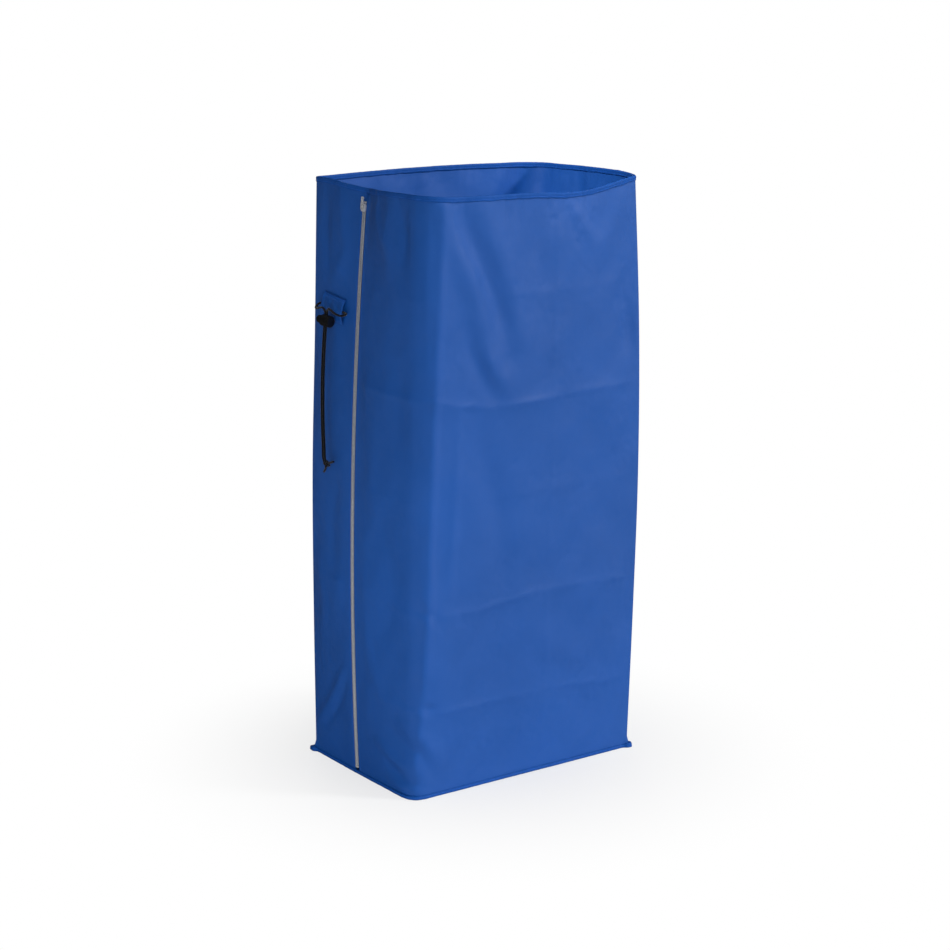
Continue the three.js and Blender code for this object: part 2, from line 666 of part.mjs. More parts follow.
// The spring at the length it has with the button pressed right in.
const spring = (() => {
  const room = buttonInner - BUTTON_TRAVEL - boreFloor - 2 * GAP;
  const length = room - SPRING_WIRE;
  const radius = buttonRadius - 1.6;
  class Helix extends THREE.Curve {
    getPoint(t, target = new THREE.Vector3()) {
      const angle = 2 * Math.PI * SPRING_TURNS * t;
      const along = boreFloor + GAP + SPRING_WIRE / 2 + length * t;
      return target.set(along, radius * Math.cos(angle), radius * Math.sin(angle));
    }
  }
  const wire = new THREE.Shape().absarc(0, 0, SPRING_WIRE / 2, 0, 2 * Math.PI);
  return new THREE.ExtrudeGeometry(wire, {
    steps: SPRING_TURNS * 16,
    curveSegments: 6,
    bevelEnabled: false,
    extrudePath: new Helix(),
  });
})();
addMesh('cord_lock_spring', spring, springSteel, lockGroup);

// ---- Tie cord ------------------------------------------------------------------------------------
// One cord passes behind the patch, both its strands run through the lock, and its ends are
// knotted together. Points from the wall behind the patch, each strand down to the knot.
const leftStrand = [
  [-2.1, 30.2, 4.2], [-2.8, 34.2, 4.2], [-6.6, 37.6, 1.9],
  [-11.4, 36.6, -1.6], [-15.4, 29.6, -2.8], [-17.8, 20, -1.2],
  [-18.6, 11, 0.8], [-18.7, 4.8, 1.2], [-18.6, 0.6, -1.2],
  [-18.1, -1.65, -5.89], [-18.58, -0.63, -15.84], [-19.58, 1.31, -37.77],
  [-20.83, 3.26, -67.72], [-21.93, 4.41, -97.72], [-22.9, 4.74, -127.75],
  [-23.72, 4.27, -157.77], [-24.4, 3, -187.78], [-24.93, 0.91, -217.75],
  [-25.22, -1.02, -238.69],
];
const rightStrand = [
  [-0.8, -32.2, -4.5], [-1.8, -36.2, -4.8], [-5.8, -39.4, -5.8],
  [-11.8, -38.8, -6.8], [-15.8, -33, -5.8], [-17.6, -24.6, -2.8],
  [-18.2, -17, 0.4], [-18.2, -11.4, 1], [-18, -7.6, -1.4],
  [-17.39, -5.76, -6.37], [-17.86, -4.74, -16.28], [-18.86, -2.81, -38.12],
  [-20.11, -0.87, -67.96], [-21.21, 0.27, -97.85], [-22.17, 0.61, -127.76],
  [-22.99, 0.14, -157.67], [-23.66, -1.13, -187.57], [-24.2, -3.21, -217.42],
  [-24.49, -5.14, -238.28],
];
const behindPatch = [[-0.8, -31.6, -4.4], [-2.2, -17, -2.4], [-2.6, 17, 2.4], [-2.1, 29.6, 4.1]];
const leftEnd = [[-21, -0.6, -252.4], [-20.6, 2.4, -256.4], [-20, 6.6, -260.6]];
const rightEnd = [[-21.2, -11.6, -242.8], [-20.8, -17.6, -240.4], [-20.2, -23.4, -238.4]];

function cord(name, points, steps) {
  const section = new THREE.Shape();
  const sides = 8;
  for (let i = 0; i < sides; i += 1) {
    const angle = (2 * Math.PI * i) / sides;
    section[i ? 'lineTo' : 'moveTo']((CORD / 2) * Math.cos(angle), (CORD / 2) * Math.sin(angle));
  }
  const route = new THREE.CatmullRomCurve3(points.map((p) => new THREE.Vector3(...p)));
  const swept = { steps, bevelEnabled: false, extrudePath: route };
  addMesh(name, new THREE.ExtrudeGeometry(section, swept), cordBlack, tie);
}
cord('tie_cord_left', leftStrand, 60);
cord('tie_cord_right', rightStrand, 60);
cord('tie_cord_behind_patch', behindPatch, 8);
cord('cord_end_left', leftEnd, 4);
cord('cord_end_right', rightEnd, 4);

const knot = new THREE.SphereGeometry(1, 14, 10);
knot.scale(5.6, 6.8, 6.2);
knot.translate(-21.6, -4.4, -246);
addMesh('tie_knot', knot, cordBlack, tie);

export default sack;
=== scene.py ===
"""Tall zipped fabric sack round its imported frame: cloth walls on a flat base, a bound mouth,
a coil zip, a keeper patch, and a tie cord with its lock and knot."""
import json
import math

import bmesh
import bpy
import numpy as np
from mathutils import Matrix, Vector


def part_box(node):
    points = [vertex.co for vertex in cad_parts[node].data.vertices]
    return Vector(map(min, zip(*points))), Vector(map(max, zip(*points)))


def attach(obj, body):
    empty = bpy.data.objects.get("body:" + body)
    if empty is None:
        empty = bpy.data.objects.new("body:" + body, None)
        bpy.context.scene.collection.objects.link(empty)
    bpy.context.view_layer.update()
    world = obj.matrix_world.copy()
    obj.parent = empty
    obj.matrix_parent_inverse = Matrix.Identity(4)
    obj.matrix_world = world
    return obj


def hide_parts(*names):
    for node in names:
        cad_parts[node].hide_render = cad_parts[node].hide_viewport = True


bl_info = {
    "name": "Zipped Sack",
    "version": (1, 0, 0),
    "blender": (4, 5, 0),
    "location": "View3D > Sidebar > Sack",
    "description": "Builds a tall zipped fabric sack around its packed frame",
    "category": "Object",
}

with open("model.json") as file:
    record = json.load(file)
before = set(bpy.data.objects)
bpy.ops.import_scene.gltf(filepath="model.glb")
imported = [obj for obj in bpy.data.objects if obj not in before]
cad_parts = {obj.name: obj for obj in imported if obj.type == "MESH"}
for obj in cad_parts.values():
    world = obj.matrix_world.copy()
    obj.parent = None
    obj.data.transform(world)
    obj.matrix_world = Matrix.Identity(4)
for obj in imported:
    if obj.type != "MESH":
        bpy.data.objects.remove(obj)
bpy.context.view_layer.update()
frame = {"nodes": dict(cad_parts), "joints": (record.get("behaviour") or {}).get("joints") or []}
JOINTS = {joint["name"]: joint for joint in frame["joints"]}
MM = 0.001


# ---- The wall as a surface, in millimetres, the same formula as the frame's --------------------
HEIGHT = 940.0
WIDE = 436.0
NARROW = 294.0
CLOTH_LAYER = 0.8
GAP = 0.4
CROWN_DROP = 4.5
HEM_HEIGHT = 8.0
HEM_CLOTH = 0.7
ZIP_LINE = NARROW / 2 - 130 - 6
ZIP_OPENING = 11.6
ZIP_FLAT = 18.0
ZIP_HEAD = HEIGHT - 25
ZIP_FOOT = 9.0
WALL_FOOT = 1.6
WALL_TOP = HEIGHT - HEM_CLOTH - GAP - CROWN_DROP
# The shares of the height between which the mouth's curve fades in.
RISE_STARTS = 0.68
RISE_ENDS = 0.98


def rising(*values):
    """A smooth curve through evenly spaced values, such as those up a wall."""
    ends = [2 * values[0] - values[1], *values, 2 * values[-1] - values[-2]]

    def at(share):
        place = min(max(share, 0.0), 1.0) * (len(values) - 1)
        i = min(int(place), len(values) - 2)
        u = place - i
        p0, p1, p2, p3 = ends[i:i + 4]
        return 0.5 * (2 * p1 + (p2 - p0) * u + (2 * p0 - 5 * p1 + 4 * p2 - p3) * u ** 2
                      + (3 * p1 - p0 - 3 * p2 + p3) * u ** 3)

    return at


CORNERS = {
    "rear": (-1, 1, rising(4, 4, 5, 11, 21), rising(-5, -4, -5.5, -10, -6)),
    "side": (1, -1, rising(-4, 1, 4, 2, -7), rising(5, 0, -4, -3, 2)),
    "front": (-1, -1, rising(0, 2, 2, 2, 3), rising(0, -15, -22, -33, -38)),
    "back": (1, 1, rising(0, 5, 8, 16, 34), rising(0, 4, 6, 6, 5)),
}
FOLD_RADIUS = rising(22, 30, 36, 46, 60)
SWELL = {
    "rear": rising(0, 3, 3, 4, 6),
    "zip_front": rising(0, 3, 4, 6, 9),
    "front": rising(0, 6, 7, 5, 0),
    "side": rising(0, 7, 8, 14, 25),
    "back": rising(0, 6, 7, 9, 12),
}
ZIP_CENTRE = np.array(JOINTS["zip_travel"]["pos_m"])[[0, 2]] / MM
ZIP_RADIUS = 6632.85


def corner(name, z):
    across, deep, shift_x, shift_y = CORNERS[name]
    share = z / HEIGHT
    return np.array([across * WIDE / 2 + shift_x(share), deep * NARROW / 2 + shift_y(share)])


def zip_x(z):
    return ZIP_CENTRE[0] - np.sqrt(ZIP_RADIUS ** 2 - (z - ZIP_CENTRE[1]) ** 2)


def side_points(start, end, bulge, steps):
    s = np.linspace(0, 1, steps + 1)[:, None]
    along = end - start
    out = np.array([along[1], -along[0]]) / np.hypot(*along)
    return start + along * s + out * 4 * bulge * s * (1 - s)


def fold_points(before, middle, after, steps):
    s = np.linspace(0, 1, steps + 1)[:, None]
    weight = 2 * s * (1 - s) * 0.94
    total = (1 - s) ** 2 + weight + s ** 2
    return ((1 - s) ** 2 * before + weight * middle + s ** 2 * after) / total


def joined(pieces):
    """One line from several, with each point's share of the frame's own steps along the panel."""
    points = [pieces[0][0][:1]]
    shares = [[0.0]]
    total = sum(steps for _, steps in pieces)
    done = 0
    for line, steps in pieces:
        points.append(line[1:])
        shares.append((done + steps * np.linspace(0, 1, len(line))[1:]) / total)
        done += steps
    return np.concatenate(points), np.concatenate(shares)


def outline(panel, z):
    """The panel's line at height z, from one seam or zip edge to the other."""
    share = z / HEIGHT
    radius = FOLD_RADIUS(share)
    zip_place = np.array([zip_x(z), ZIP_LINE])

    def beside(distance):
        return zip_place + [0, distance]

    def cut(name, towards):
        start = corner(name, z)
        return start + (towards - start) * radius / np.hypot(*(towards - start))

    rear, side, front, back = (corner(n, z) for n in ("rear", "side", "front", "back"))
    if panel == "rear":
        return joined([
            (side_points(rear, beside(ZIP_FLAT), SWELL["rear"](share), 24), 4),
            (np.array([beside(ZIP_FLAT), beside(ZIP_OPENING / 2)]), 1),
        ])
    if panel == "front":
        fold_start, fold_end = cut("front", zip_place), cut("front", side)
        return joined([
            (np.array([beside(-ZIP_OPENING / 2), beside(-ZIP_FLAT)]), 1),
            (side_points(beside(-ZIP_FLAT), fold_start, SWELL["zip_front"](share), 24), 4),
            (fold_points(fold_start, front, fold_end, 20), 5),
            (side_points(fold_end, side, SWELL["front"](share), 60), 7),
        ])
    fold_start, fold_end = cut("back", side), cut("back", rear)
    return joined([
        (side_points(side, fold_start, SWELL["side"](share), 30), 5),
        (fold_points(fold_start, back, fold_end, 20), 5),
        (side_points(fold_end, rear, SWELL["back"](share), 60), 7),
    ])


def smooth(low, high, value):
    """A smooth step from 0 at low to 1 at high."""
    s = np.clip((value - low) / (high - low), 0, 1)
    return s * s * (3 - 2 * s)


# The mouth isn't level: the two sewn corners hold it up, and the wide front dips.
MOUTH_LIFTS = {
    "rear": rising(7, 7.6, 5, 1, -1.5),
    "front": rising(-1.5, 1.2, 3, 3, 1.6, -1.2, -4.2, -8.4, 8),
    "back": rising(8, 6.5, 6.5, 9, 7),
}


def mouth_lift(panel, shares):
    """How far the mouth stands above its level at a place along the panel."""
    return np.array([MOUTH_LIFTS[panel](share) for share in np.atleast_1d(shares)])


def arc_length(points):
    steps = np.hypot(*np.diff(points[:, :2], axis=0).T)
    return np.concatenate([[0], np.cumsum(steps)])


def softened(points, shares, softness, step=2.0):
    """The line again with its kinks rounded over that many millimetres, its ends held."""
    s = arc_length(points)
    count = max(8, int(s[-1] / step))
    even = np.linspace(0, s[-1], count + 1)
    x, y, mark = (np.interp(even, s, v) for v in (points[:, 0], points[:, 1], shares))
    reach = int(3 * softness / step)
    kernel = np.exp(-0.5 * (np.arange(-reach, reach + 1) * step / softness) ** 2)
    kernel /= kernel.sum()

    def rounded(v):
        padded = np.concatenate([2 * v[0] - v[reach:0:-1], v, 2 * v[-1] - v[-2:-reach - 2:-1]])
        return np.convolve(padded, kernel, "valid")

    return np.stack([rounded(x), rounded(y)], 1), mark


SOFTNESS = 9.0


def panel_line(panel, z):
    """The panel's softened line at height z, with its shares and lengths."""
    points, shares = softened(*outline(panel, z), SOFTNESS)
    return points, shares, arc_length(points)


# Where the middle of a soft fold lies among the frame's steps along its panel.
FOLD_MARK = {"front": 7.5 / 17, "back": 7.5 / 17, "rear": 0.0}


def mouth_rise(panel, mark, z):
    """How far the curve of the mouth lifts a place at height z."""
    return mouth_lift(panel, mark) * smooth(RISE_STARTS, RISE_ENDS, z / HEIGHT)


def wall_row(panel, z, places):
    """Points of the wall at height z, at distances measured from the panel's soft fold
    (from the rear seam on the rear strip). Places run from 0 to 1 along the panel."""
    points, shares, s = panel_line(panel, z)
    at = places * s[-1]
    x, y = np.interp(at, s, points[:, 0]), np.interp(at, s, points[:, 1])
    mark = np.interp(at, s, shares)
    lift = mouth_rise(panel, mark, z)
    fold_at = np.interp(FOLD_MARK[panel], shares, s)
    return np.stack([x, y, z + lift], 1), at - fold_at


# ---- Settings ----------------------------------------------------------------------------------


class SackClothSettings(bpy.types.PropertyGroup):
    """Sizes and colours of the coated cloth and its bindings."""

    colour: bpy.props.FloatVectorProperty(
        name="Cloth colour", description="Base colour of the coated cloth",
        subtype="COLOR", size=3, min=0, max=1, default=(0.006, 0.092, 0.41))
    binding_colour: bpy.props.FloatVectorProperty(
        name="Binding colour", description="Base colour of the binding and the sewing thread",
        subtype="COLOR", size=3, min=0, max=1, default=(0.008, 0.084, 0.38))
    thickness: bpy.props.FloatProperty(
        name="Cloth thickness", description="Thickness of one layer of cloth",
        unit="LENGTH", min=0.0002, max=0.001, default=0.0005)
    spacing: bpy.props.FloatProperty(
        name="Grid", description="Distance between the points of a wall, in millimetres",
        min=2.5, max=12, default=4.2)
    fold_depth: bpy.props.FloatProperty(
        name="Fold depth", description="Strength of the soft folds in the walls",
        min=0, max=2, default=1.45)
    crease_depth: bpy.props.FloatProperty(
        name="Crease depth", description="Strength of the creases left by folding the sack flat",
        min=0, max=2, default=1.05)
    stitch_pitch: bpy.props.FloatProperty(
        name="Stitch pitch", description="Distance from one stitch to the next",
        unit="LENGTH", min=0.002, max=0.006, default=0.0033)


class SackZipSettings(bpy.types.PropertyGroup):
    """Sizes and colours of the zip."""

    pitch: bpy.props.FloatProperty(
        name="Coil pitch", description="Distance from one turn of the coil to the next",
        unit="LENGTH", min=0.001, max=0.003, default=0.0015)
    colour: bpy.props.FloatVectorProperty(
        name="Zip colour", description="Colour of the coil and its tapes",
        subtype="COLOR", size=3, min=0, max=1, default=(0.62, 0.63, 0.65))
    metal: bpy.props.FloatVectorProperty(
        name="Metal colour", description="Colour of the slider, its tab and the stops",
        subtype="COLOR", size=3, min=0, max=1, default=(0.80, 0.80, 0.81))


class SackCordSettings(bpy.types.PropertyGroup):
    """Sizes and colours of the tie cord and its lock."""

    diameter: bpy.props.FloatProperty(
        name="Cord diameter", description="Diameter of the braided cord",
        unit="LENGTH", min=0.002, max=0.006, default=0.0035)
    colour: bpy.props.FloatVectorProperty(
        name="Cord colour", description="Colour of the braided cord",
        subtype="COLOR", size=3, min=0, max=1, default=(0.004, 0.004, 0.005))
    plastic: bpy.props.FloatVectorProperty(
        name="Lock colour", description="Colour of the moulded cord lock",
        subtype="COLOR", size=3, min=0, max=1, default=(0.006, 0.006, 0.007))


class SackStageSettings(bpy.types.PropertyGroup):
    """The camera and the light."""

    azimuth: bpy.props.FloatProperty(
        name="Azimuth", description="Direction that the camera looks from, round the upright axis",
        subtype="ANGLE", default=math.radians(-35.53))
    elevation: bpy.props.FloatProperty(
        name="Elevation", description="How steeply the camera looks down",
        subtype="ANGLE", default=math.radians(12.98))
    distance: bpy.props.FloatProperty(
        name="Distance", description="From the camera to the point it looks at",
        unit="LENGTH", default=3.6)
    lens: bpy.props.FloatProperty(
        name="Lens", description="Focal length on a 36 mm sensor", subtype="DISTANCE_CAMERA",
        default=87.12)
    key: bpy.props.FloatProperty(
        name="Key light", description="Strength of the soft key light", default=2.15)
    side: bpy.props.FloatProperty(
        name="Side light", description="Strength of the light on the zipped side", default=0.95)
    low: bpy.props.FloatProperty(
        name="Low light", description="Strength of the light close to the floor",
        subtype="POWER", default=2.3)
    mouth: bpy.props.FloatProperty(
        name="Mouth light", description="Strength of the light into the mouth",
        subtype="POWER", default=72)
    overhead: bpy.props.FloatProperty(
        name="Overhead light", description="Power of the soft overhead light",
        subtype="POWER", default=10)
    surroundings: bpy.props.FloatProperty(
        name="Surroundings", description="Brightness of the white room", default=0.06)


def settings(context):
    """The four groups of settings."""
    scene = context.scene
    return scene.sack_cloth, scene.sack_zip, scene.sack_cord, scene.sack_stage


# ---- Nodes -------------------------------------------------------------------------------------


class Net:
    """Adds nodes to a tree and joins them."""

    def __init__(self, tree):
        self.tree = tree

    def feed(self, socket, value):
        if isinstance(value, bpy.types.NodeSocket):
            self.tree.links.new(value, socket)
        else:
            socket.default_value = value

    def add(self, kind, inputs=(), **properties):
        node = self.tree.nodes.new(kind)
        for name, value in properties.items():
            setattr(node, name, value)
        for name, value in dict(inputs).items():
            self.feed(node.inputs[name], value)
        return node

    def math(self, operation, *values):
        return self.add("ShaderNodeMath", enumerate(values), operation=operation).outputs[0]

    def noise(self, vector, scale, detail=3.0, roughness=0.5):
        node = self.add("ShaderNodeTexNoise", {
            "Vector": vector, "Scale": scale, "Detail": detail, "Roughness": roughness})
        return node.outputs["Fac"]

    def ramp(self, value, low, high, start=0.0, end=1.0):
        node = self.add("ShaderNodeMapRange", {
            "Value": value, "From Min": low, "From Max": high, "To Min": start, "To Max": end})
        return node.outputs["Result"]

    def tint(self, share, first, second, blend="MIX"):
        node = self.add("ShaderNodeMix", data_type="RGBA", blend_type=blend)
        sockets = {"factor": node.inputs[0], "a": node.inputs[6], "b": node.inputs[7]}
        self.feed(sockets["factor"], share)
        self.feed(sockets["a"], first)
        self.feed(sockets["b"], second)
        return node.outputs[2]


def shader_group(name, inputs, outputs):
    """A new shader group. inputs is {name: (kind, default)}, outputs is {name: kind}."""
    tree = bpy.data.node_groups.new(name, "ShaderNodeTree")
    for label, (kind, default) in inputs.items():
        socket = tree.interface.new_socket(label, in_out="INPUT", socket_type=f"NodeSocket{kind}")
        if default is not None:
            socket.default_value = default
    for label, kind in outputs.items():
        tree.interface.new_socket(label, in_out="OUTPUT", socket_type=f"NodeSocket{kind}")
    net = Net(tree)
    return net, net.add("NodeGroupInput").outputs, net.add("NodeGroupOutput").inputs


def weave_group():
    """Plain weave: threads over and under each other, Pitch apart."""
    net, given, result = shader_group(
        "Plain weave",
        {"Vector": ("Vector", None), "Pitch": ("Float", 0.0005)},
        {"Height": "Float", "Gap": "Float"})
    place = net.add("ShaderNodeSeparateXYZ", {"Vector": given["Vector"]}).outputs
    turn = net.math("DIVIDE", math.pi, given["Pitch"])
    across, along = (net.math("MULTIPLY", place[axis], turn) for axis in "XY")

    def thread(ridge, ripple, sign):
        top = net.math("ABSOLUTE", net.math("COSINE", ridge))
        side = net.math("SIGN", net.math("COSINE", ridge))
        over = net.math("MULTIPLY", net.math("SINE", ripple), side)
        lift = net.math("MULTIPLY_ADD", over, sign * 0.5, 0.5)
        return net.math("MULTIPLY", top, lift)

    height = net.math("MAXIMUM", thread(across, along, 1), thread(along, across, -1))
    net.feed(result["Height"], height)
    net.feed(result["Gap"], net.ramp(height, 0.25, 0.0))
    return net.tree


def crumple_group():
    """The fine crinkles and the uneven sheen of thin coated cloth."""
    net, given, result = shader_group(
        "Cloth crumple",
        {"Vector": ("Vector", None), "Scale": ("Float", 30.0)},
        {"Height": "Float", "Tone": "Float", "Sheen": "Float"})
    bend = net.noise(given["Vector"], net.math("MULTIPLY", given["Scale"], 0.4), 2.0)
    moved = net.add("ShaderNodeVectorMath", {0: given["Vector"]}, operation="ADD")
    shift = net.add("ShaderNodeVectorMath", {0: (0.02, 0.02, 0.02)}, operation="SCALE")
    net.feed(shift.inputs["Scale"], bend)
    net.feed(moved.inputs[1], shift.outputs[0])
    facets = net.add("ShaderNodeTexVoronoi", {
        "Vector": moved.outputs[0], "Scale": given["Scale"]}, feature="DISTANCE_TO_EDGE")
    crinkle = net.ramp(facets.outputs["Distance"], 0.0, 0.35)
    soft = net.noise(given["Vector"], net.math("MULTIPLY", given["Scale"], 0.8), 4.0, 0.55)
    net.feed(result["Height"], net.math("MULTIPLY_ADD", crinkle, 0.25, soft))
    broad = net.noise(given["Vector"], net.math("MULTIPLY", given["Scale"], 0.12), 3.0)
    net.feed(result["Tone"], net.ramp(broad, 0.3, 0.7))
    net.feed(result["Sheen"], net.ramp(soft, 0.3, 0.7))
    return net.tree


def grain_group():
    """Fine moulded or cast grain, with slightly rubbed high spots."""
    net, given, result = shader_group(
        "Moulded grain",
        {"Vector": ("Vector", None), "Scale": ("Float", 900.0)},
        {"Height": "Float", "Rub": "Float"})
    net.feed(result["Height"], net.noise(given["Vector"], given["Scale"], 4.0, 0.6))
    patches = net.noise(given["Vector"], net.math("MULTIPLY", given["Scale"], 0.12), 3.0, 0.6)
    net.feed(result["Rub"], net.ramp(patches, 0.45, 0.75))
    return net.tree


def braid_group():
    """Two families of strands running round a cord, from its own length and turn."""
    net, given, result = shader_group(
        "Braided yarn",
        {"Vector": ("Vector", None), "Strands": ("Float", 8.0), "Lay": ("Float", 0.009),
         "Yarns": ("Float", 5.0)},
        {"Height": "Float", "Gap": "Float"})
    place = net.add("ShaderNodeSeparateXYZ", {"Vector": given["Vector"]}).outputs
    run = net.math("DIVIDE", place["Y"], given["Lay"])

    def family(sign):
        turn = net.math("MULTIPLY_ADD", run, sign, place["X"])
        return net.math("MULTIPLY", turn, net.math("MULTIPLY", given["Strands"], math.pi))

    left, right = family(1.0), family(-1.0)
    cross = net.math("MULTIPLY", net.math("SINE", left), net.math("SINE", right))
    over = net.math("GREATER_THAN", cross, 0.0)
    yarn = net.math("ABSOLUTE", net.math("SINE", net.math("MULTIPLY", left, given["Yarns"])))
    other = net.math("ABSOLUTE", net.math("SINE", net.math("MULTIPLY", right, given["Yarns"])))
    fibre = net.add("ShaderNodeMix", {0: over}, data_type="FLOAT")
    net.feed(fibre.inputs[2], yarn)
    net.feed(fibre.inputs[3], other)
    net.feed(result["Height"], fibre.outputs[0])
    net.feed(result["Gap"], net.ramp(net.math("ABSOLUTE", cross), 0.2, 0.0))
    return net.tree


def material(name, colour, roughness, metallic=0.0, **constants):
    """A material with its shader's plain values set; returns it with its net and shader."""
    made = bpy.data.materials.new(name)
    made.use_nodes = True
    made.diffuse_color = (*colour, 1)
    shader = made.node_tree.nodes["Principled BSDF"]
    shader.inputs["Base Color"].default_value = (*colour, 1)
    shader.inputs["Roughness"].default_value = roughness
    shader.inputs["Metallic"].default_value = metallic
    for label, value in constants.items():
        shader.inputs[label.replace("_", " ").title().replace("Ior", "IOR")].default_value = value
    return made, Net(made.node_tree), shader


def shade(colour, factor):
    return (*(min(1.0, channel * factor) for channel in colour), 1)


def bumps(net, shader, *layers):
    """Stacked bump nodes, each (height socket, depth in metres), into the shader's normal."""
    normal = None
    for height, depth in layers:
        node = net.add("ShaderNodeBump", {"Height": height, "Distance": depth, "Strength": 1.0})
        if normal is not None:
            net.feed(node.inputs["Normal"], normal)
        normal = node.outputs["Normal"]
    net.feed(shader.inputs["Normal"], normal)


def cloth_like(name, colour, roughness, groups, pitch, crumple, weave_depth, crumple_depth, **more):
    """Cloth from the weave and crumple groups, on the piece's own map in metres."""
    made, net, shader = material(name, colour, roughness, **more)
    coordinates = net.add("ShaderNodeTexCoord").outputs
    weave = net.add("ShaderNodeGroup", node_tree=groups["weave"])
    net.feed(weave.inputs["Vector"], coordinates["UV"])
    weave.inputs["Pitch"].default_value = pitch
    crinkles = net.add("ShaderNodeGroup", node_tree=groups["crumple"])
    net.feed(crinkles.inputs["Vector"], coordinates["Object"])
    crinkles.inputs["Scale"].default_value = crumple
    tone = net.tint(crinkles.outputs["Tone"], shade(colour, 0.93), shade(colour, 1.07))
    # Darker where the threads part: painted shade in the gaps of the weave.
    shaded_gaps = net.tint(net.math("MULTIPLY", weave.outputs["Gap"], 0.5), tone, shade(colour, 0.6))
    net.feed(shader.inputs["Base Color"], shaded_gaps)
    net.feed(shader.inputs["Roughness"], net.ramp(
        crinkles.outputs["Sheen"], 0, 1, roughness - 0.06, roughness + 0.06))
    bumps(net, shader, (crinkles.outputs["Height"], crumple_depth),
          (weave.outputs["Height"], weave_depth))
    return made


def grained(name, colour, roughness, groups, scale, depth, rub, metallic=0.0, **more):
    """Moulded plastic or cast metal from the grain group."""
    made, net, shader = material(name, colour, roughness, metallic, **more)
    grain = net.add("ShaderNodeGroup", node_tree=groups["grain"])
    net.feed(grain.inputs["Vector"], net.add("ShaderNodeTexCoord").outputs["Object"])
    grain.inputs["Scale"].default_value = scale
    net.feed(shader.inputs["Base Color"], net.tint(
        grain.outputs["Rub"], shade(colour, 1.0), shade(colour, rub)))
    net.feed(shader.inputs["Roughness"], net.ramp(
        grain.outputs["Rub"], 0, 1, roughness, roughness - 0.08))
    bumps(net, shader, (grain.outputs["Height"], depth))
    return made


def braided(name, colour, groups):
    """Braided cord on its own map: turn across, metres along."""
    made, net, shader = material(name, colour, 0.62, sheen_weight=0.25, sheen_roughness=0.4)
    yarn = net.add("ShaderNodeGroup", node_tree=groups["braid"])
    net.feed(yarn.inputs["Vector"], net.add("ShaderNodeTexCoord").outputs["UV"])
    yarn.inputs["Strands"].default_value = BRAID_STRANDS
    yarn.inputs["Lay"].default_value = BRAID_LAY
    # Darker between the strands: painted shade in the hollows of the braid.
    net.feed(shader.inputs["Base Color"], net.tint(
        yarn.outputs["Gap"], shade(colour, 1.0), shade(colour, 0.3)))
    net.feed(shader.inputs["Roughness"], net.ramp(yarn.outputs["Height"], 0, 1, 0.7, 0.5))
    bumps(net, shader, (yarn.outputs["Height"], 0.00012))
    return made


MATERIALS = {}


def make_materials(context):
    cloth, zip_look, cord_look, _ = settings(context)
    groups = {"weave": weave_group(), "crumple": crumple_group(), "grain": grain_group(),
              "braid": braid_group()}
    blue, bound = tuple(cloth.colour), tuple(cloth.binding_colour)
    grey, metal = tuple(zip_look.colour), tuple(zip_look.metal)
    black, plastic = tuple(cord_look.colour), tuple(cord_look.plastic)
    MATERIALS.update({
        "coated_cloth": cloth_like("coated_cloth", blue, 0.62, groups, 0.00045, 34, 0.00004, 0.0006,
                                   specular_ior_level=0.6),
        "binding": cloth_like("binding", bound, 0.6, groups, 0.0007, 60, 0.00012, 0.0003,
                              specular_ior_level=0.2),
        "thread": cloth_like("thread", shade(bound, 1.6)[:3], 0.6, groups, 0.0003, 200, 0.00005,
                             0.00005),
        # The tape's own colour is the binding blue; taken down to 0.6 it also paints the shade
        # along both sides of the coil.
        "zip_tape": cloth_like("zip_tape", shade(bound, 0.6)[:3], 0.75, groups, 0.0006, 80,
                               0.00014, 0.0002, sheen_weight=0.1),
        "zip_coil": grained("zip_coil", grey, 0.42, groups, 1500, 0.00002, 1.15),
        "zip_metal": grained("zip_metal", metal, 0.3, groups, 700, 0.00002, 1.1, 0.45),
        "cord": braided("cord", black, groups),
        "lock_plastic": grained("lock_plastic", plastic, 0.5, groups, 1600, 0.00005, 1.6,
                                specular_ior_level=0.45),
        "spring_steel": grained("spring_steel", (0.55, 0.56, 0.58), 0.25, groups, 1200, 0.00001,
                                1.2, 1.0),
    })


# ---- Meshes ------------------------------------------------------------------------------------


def linked(name, mesh, look, smooth=True):
    """A new object from a mesh, with its material."""
    if look is not None:
        mesh.materials.clear()
        mesh.materials.append(MATERIALS[look])
    mesh.polygons.foreach_set("use_smooth", [smooth] * len(mesh.polygons))
    made = bpy.data.objects.new(name, mesh)
    bpy.context.scene.collection.objects.link(made)
    return made


def grid_mesh(name, points, uv, look, wrap_rows=False, wrap_columns=False, caps=False):
    """A mesh from a grid of points in metres. uv has a row or column more where the grid wraps."""
    rows, columns = points.shape[:2]
    i, k = np.meshgrid(np.arange(rows - (not wrap_rows)), np.arange(columns - (not wrap_columns)),
                       indexing="ij")
    turns = [(0, 0), (0, 1), (1, 1), (1, 0)]
    faces = np.stack([((i + a) % rows * columns + (k + b) % columns).ravel() for a, b in turns], 1)
    maps = np.stack([uv[i + a, k + b].reshape(-1, 2) for a, b in turns], 1).reshape(-1, 2).tolist()
    faces = faces.tolist()
    places = points.reshape(-1, 3)
    if caps:
        for row, order in ((0, -1), (rows - 1, 1)):
            centre = len(places)
            places = np.vstack([places, points[row].mean(0)])
            for column in range(columns):
                pair = [column, (column + 1) % columns][::order]
                faces.append([centre] + [row * columns + c for c in pair])
                edge = [uv[row, column], uv[row, column + 1]][::order]
                maps += [list(uv[row].mean(0)), list(edge[0]), list(edge[1])]
    mesh = bpy.data.meshes.new(name)
    mesh.from_pydata(places.tolist(), [], faces)
    mesh.uv_layers.new(name="UVMap").data.foreach_set("uv", np.array(maps).ravel())
    mesh.update()
    return linked(name, mesh, look)


